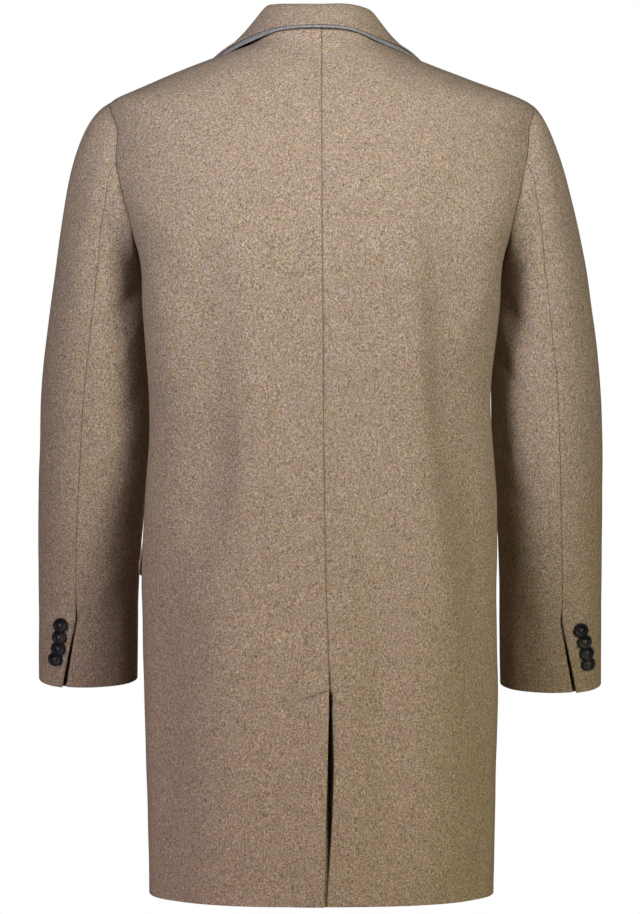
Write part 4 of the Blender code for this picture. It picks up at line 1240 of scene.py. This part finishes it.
def buttons(horn_finish, thread_finish):
    """Cuff buttons, each leaning over the one below, and the front ones, with their threads."""
    placed = []
    for side, word in SIDES:
        heights = np.array([row[0] for row in CUFF_BUTTON_ROWS])
        turns = np.radians([row[1 if side > 0 else 2] for row in CUFF_BUTTON_ROWS])
        downs = 1 + (heights - BICEP) / (CUFF - BICEP)
        points = sleeve(side, turns, downs)
        outs = sleeve_out(side, turns, downs)
        for number, (point, out, run) in enumerate(zip(points, outs, np.gradient(points, axis=0)), 1):
            run = Vector(unit(run))
            lean = Matrix.Rotation(-side * BUTTON_FACE, 3, run)
            lean = Matrix.Rotation(BUTTON_TILT, 3, run.cross(Vector(out))) @ lean
            stand = LAP + math.sin((lean @ Vector(out)).angle(Vector(out))) * CUFF_BUTTON / 2 - BUTTON_SINK
            placed.append(("cuff_button_%s_%d" % (word, number), CUFF_BUTTON, point + out * stand, out, lean))
    heights = np.array(FRONT_BUTTON_HEIGHTS)
    points = on_front(1, np.full_like(heights, 1e-6), heights, BUTTON_OFF)
    outs = torso_out(np.full_like(heights, math.pi), heights)
    for number, (point, out) in enumerate(zip(points, outs), 1):
        placed.append(("front_button_%d" % number, FRONT_BUTTON, point, out, None))
    for name, diameter, centre, out, lean in placed:
        disc = [set_down(button_surface(diameter), centre, out, lean)]
        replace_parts(shell(name + "_disc", disc, horn_finish), name)
        threads = [set_down(tube, centre, out, lean) for tube in thread_tubes(diameter)]
        shell(name + "_thread", threads, thread_finish)


def vent_stitches(finish):
    """Backstitches down the slanted line at the vent's top: beads at even steps, half sunk in the groove."""
    end_angle, end_height = VENT_STITCH_END
    share = np.linspace(0.05, 0.97, STITCHES)
    angle = end_angle * share
    height = VENT_TOP + (end_height - VENT_TOP) * share
    lift = vent_lift(1, angle, height) - 0.6 * VENT_GROOVE
    outs = torso_out(angle, height)
    centres = torso(angle, height) + outs * lift[:, None]
    runs = unit(np.gradient(centres, axis=0))
    beads = stitch_beads(centres, runs, outs, STITCH_LENGTH, STITCH_THIN)
    return shell("vent_stitches", beads, finish)


def coat():
    """All the coat's pieces in their finishes."""
    wool_finish = wool()
    felt_finish = felt()
    tan_thread = thread("button_thread", (0.085, 0.066, 0.048), (0.22, 0.175, 0.13))
    brown_thread = thread("seam_thread", (0.035, 0.025, 0.018), (0.075, 0.054, 0.038))
    cloth = {}
    for side, word in SIDES:
        cloth["back_" + word] = back_piece(side)
        cloth["front_" + word] = front_piece(side)
        cloth["sleeve_top_" + word] = sleeve_piece(side, True)
        cloth["sleeve_under_" + word] = sleeve_piece(side, False)
        cloth["lapel_" + word] = lapel_piece(side)
        cloth["pocket_flap_" + word] = flap_piece(side)
    cloth["collar"] = collar_piece(True)
    cloth["undercollar"] = collar_piece(False)
    for name, width, length, area, rests_on in SHEETS:
        slot = "felt" if name == "undercollar" else "wool"
        piece = sew(name, cloth[name], felt_finish if slot == "felt" else wool_finish)
    buttons(horn(), tan_thread)
    vent_stitches(brown_thread)


# Studio


def studio_camera():
    """Camera level with the middle of the coat, 4 m behind it, with the photograph's angle of view."""
    lens = bpy.data.cameras.new("camera")
    lens.sensor_fit = "VERTICAL"
    lens.angle = 2 * math.atan(PICTURE_HALF / PICTURE_FOCAL)
    camera = bpy.data.objects.new("camera", lens)
    camera.matrix_world = (Matrix.Translation(CAMERA_PLACE) @ Matrix.Rotation(math.pi, 4, "Z")
                           @ Matrix.Rotation(math.pi / 2, 4, "X"))
    bpy.context.scene.collection.objects.link(camera)
    bpy.context.scene.camera = camera


def studio_light(name, place, aim, size, spread, watts, tint):
    """Square softbox at a place, aimed at a point; a smaller spread keeps its light nearer to that point."""
    lamp = bpy.data.lights.new(name, "AREA")
    lamp.size = size
    lamp.spread = math.radians(spread)
    lamp.energy = watts
    lamp.color = tint
    thing = bpy.data.objects.new(name, lamp)
    thing.location = place
    thing.rotation_mode = "QUATERNION"
    thing.rotation_quaternion = (Vector(aim) - Vector(place)).to_track_quat("-Z", "Y")
    bpy.context.scene.collection.objects.link(thing)


def studio_world():
    """Even white surroundings: full white to the camera, dimmer as light."""
    world = bpy.data.worlds.new("studio")
    bpy.context.scene.world = world
    world.use_nodes = True
    nodes = world.node_tree.nodes
    links = world.node_tree.links
    seen = nodes["Background"]
    glow = nodes.new("ShaderNodeBackground")
    path = nodes.new("ShaderNodeLightPath")
    pick = nodes.new("ShaderNodeMixShader")
    links.new(path.outputs["Is Camera Ray"], pick.inputs[0])
    for background, strength, socket in ((glow, WORLD_GLOW, 1), (seen, 1.0, 2)):
        background.inputs["Color"].default_value = WHITE
        background.inputs["Strength"].default_value = strength
        links.new(background.outputs[0], pick.inputs[socket])
    links.new(pick.outputs[0], nodes["World Output"].inputs["Surface"])


def studio_floor():
    """Round pale floor well below the hem: rings of points round a centre. It gives the coat no light."""
    away = np.linspace(0, FLOOR_REACH, FLOOR_RINGS)[1:, None]
    turn = np.linspace(0, math.tau, FLOOR_TURNS + 1)[:-1]
    points = join(away * np.cos(turn), away * np.sin(turn), FLOOR_HEIGHT)
    mesh = bpy.data.meshes.new("floor")
    faces = grid_faces(*points.shape[:2], True).tolist() + [list(range(FLOOR_TURNS))]
    mesh.from_pydata(points.reshape(-1, 3).tolist(), [], faces)
    mesh.materials.append(floor_paint())
    thing = bpy.data.objects.new("floor", mesh)
    thing.visible_diffuse = False
    thing.visible_glossy = False
    bpy.context.scene.collection.objects.link(thing)


def studio():
    """White surroundings, a softbox to each side of the camera above the coat, a weak warm one low at each
    side and a soft one in front, for the hidden side."""
    bpy.context.scene.view_settings.view_transform = "Standard"
    studio_camera()
    studio_world()
    studio_floor()
    for row in LIGHTS:
        studio_light(*row)


coat()
studio()
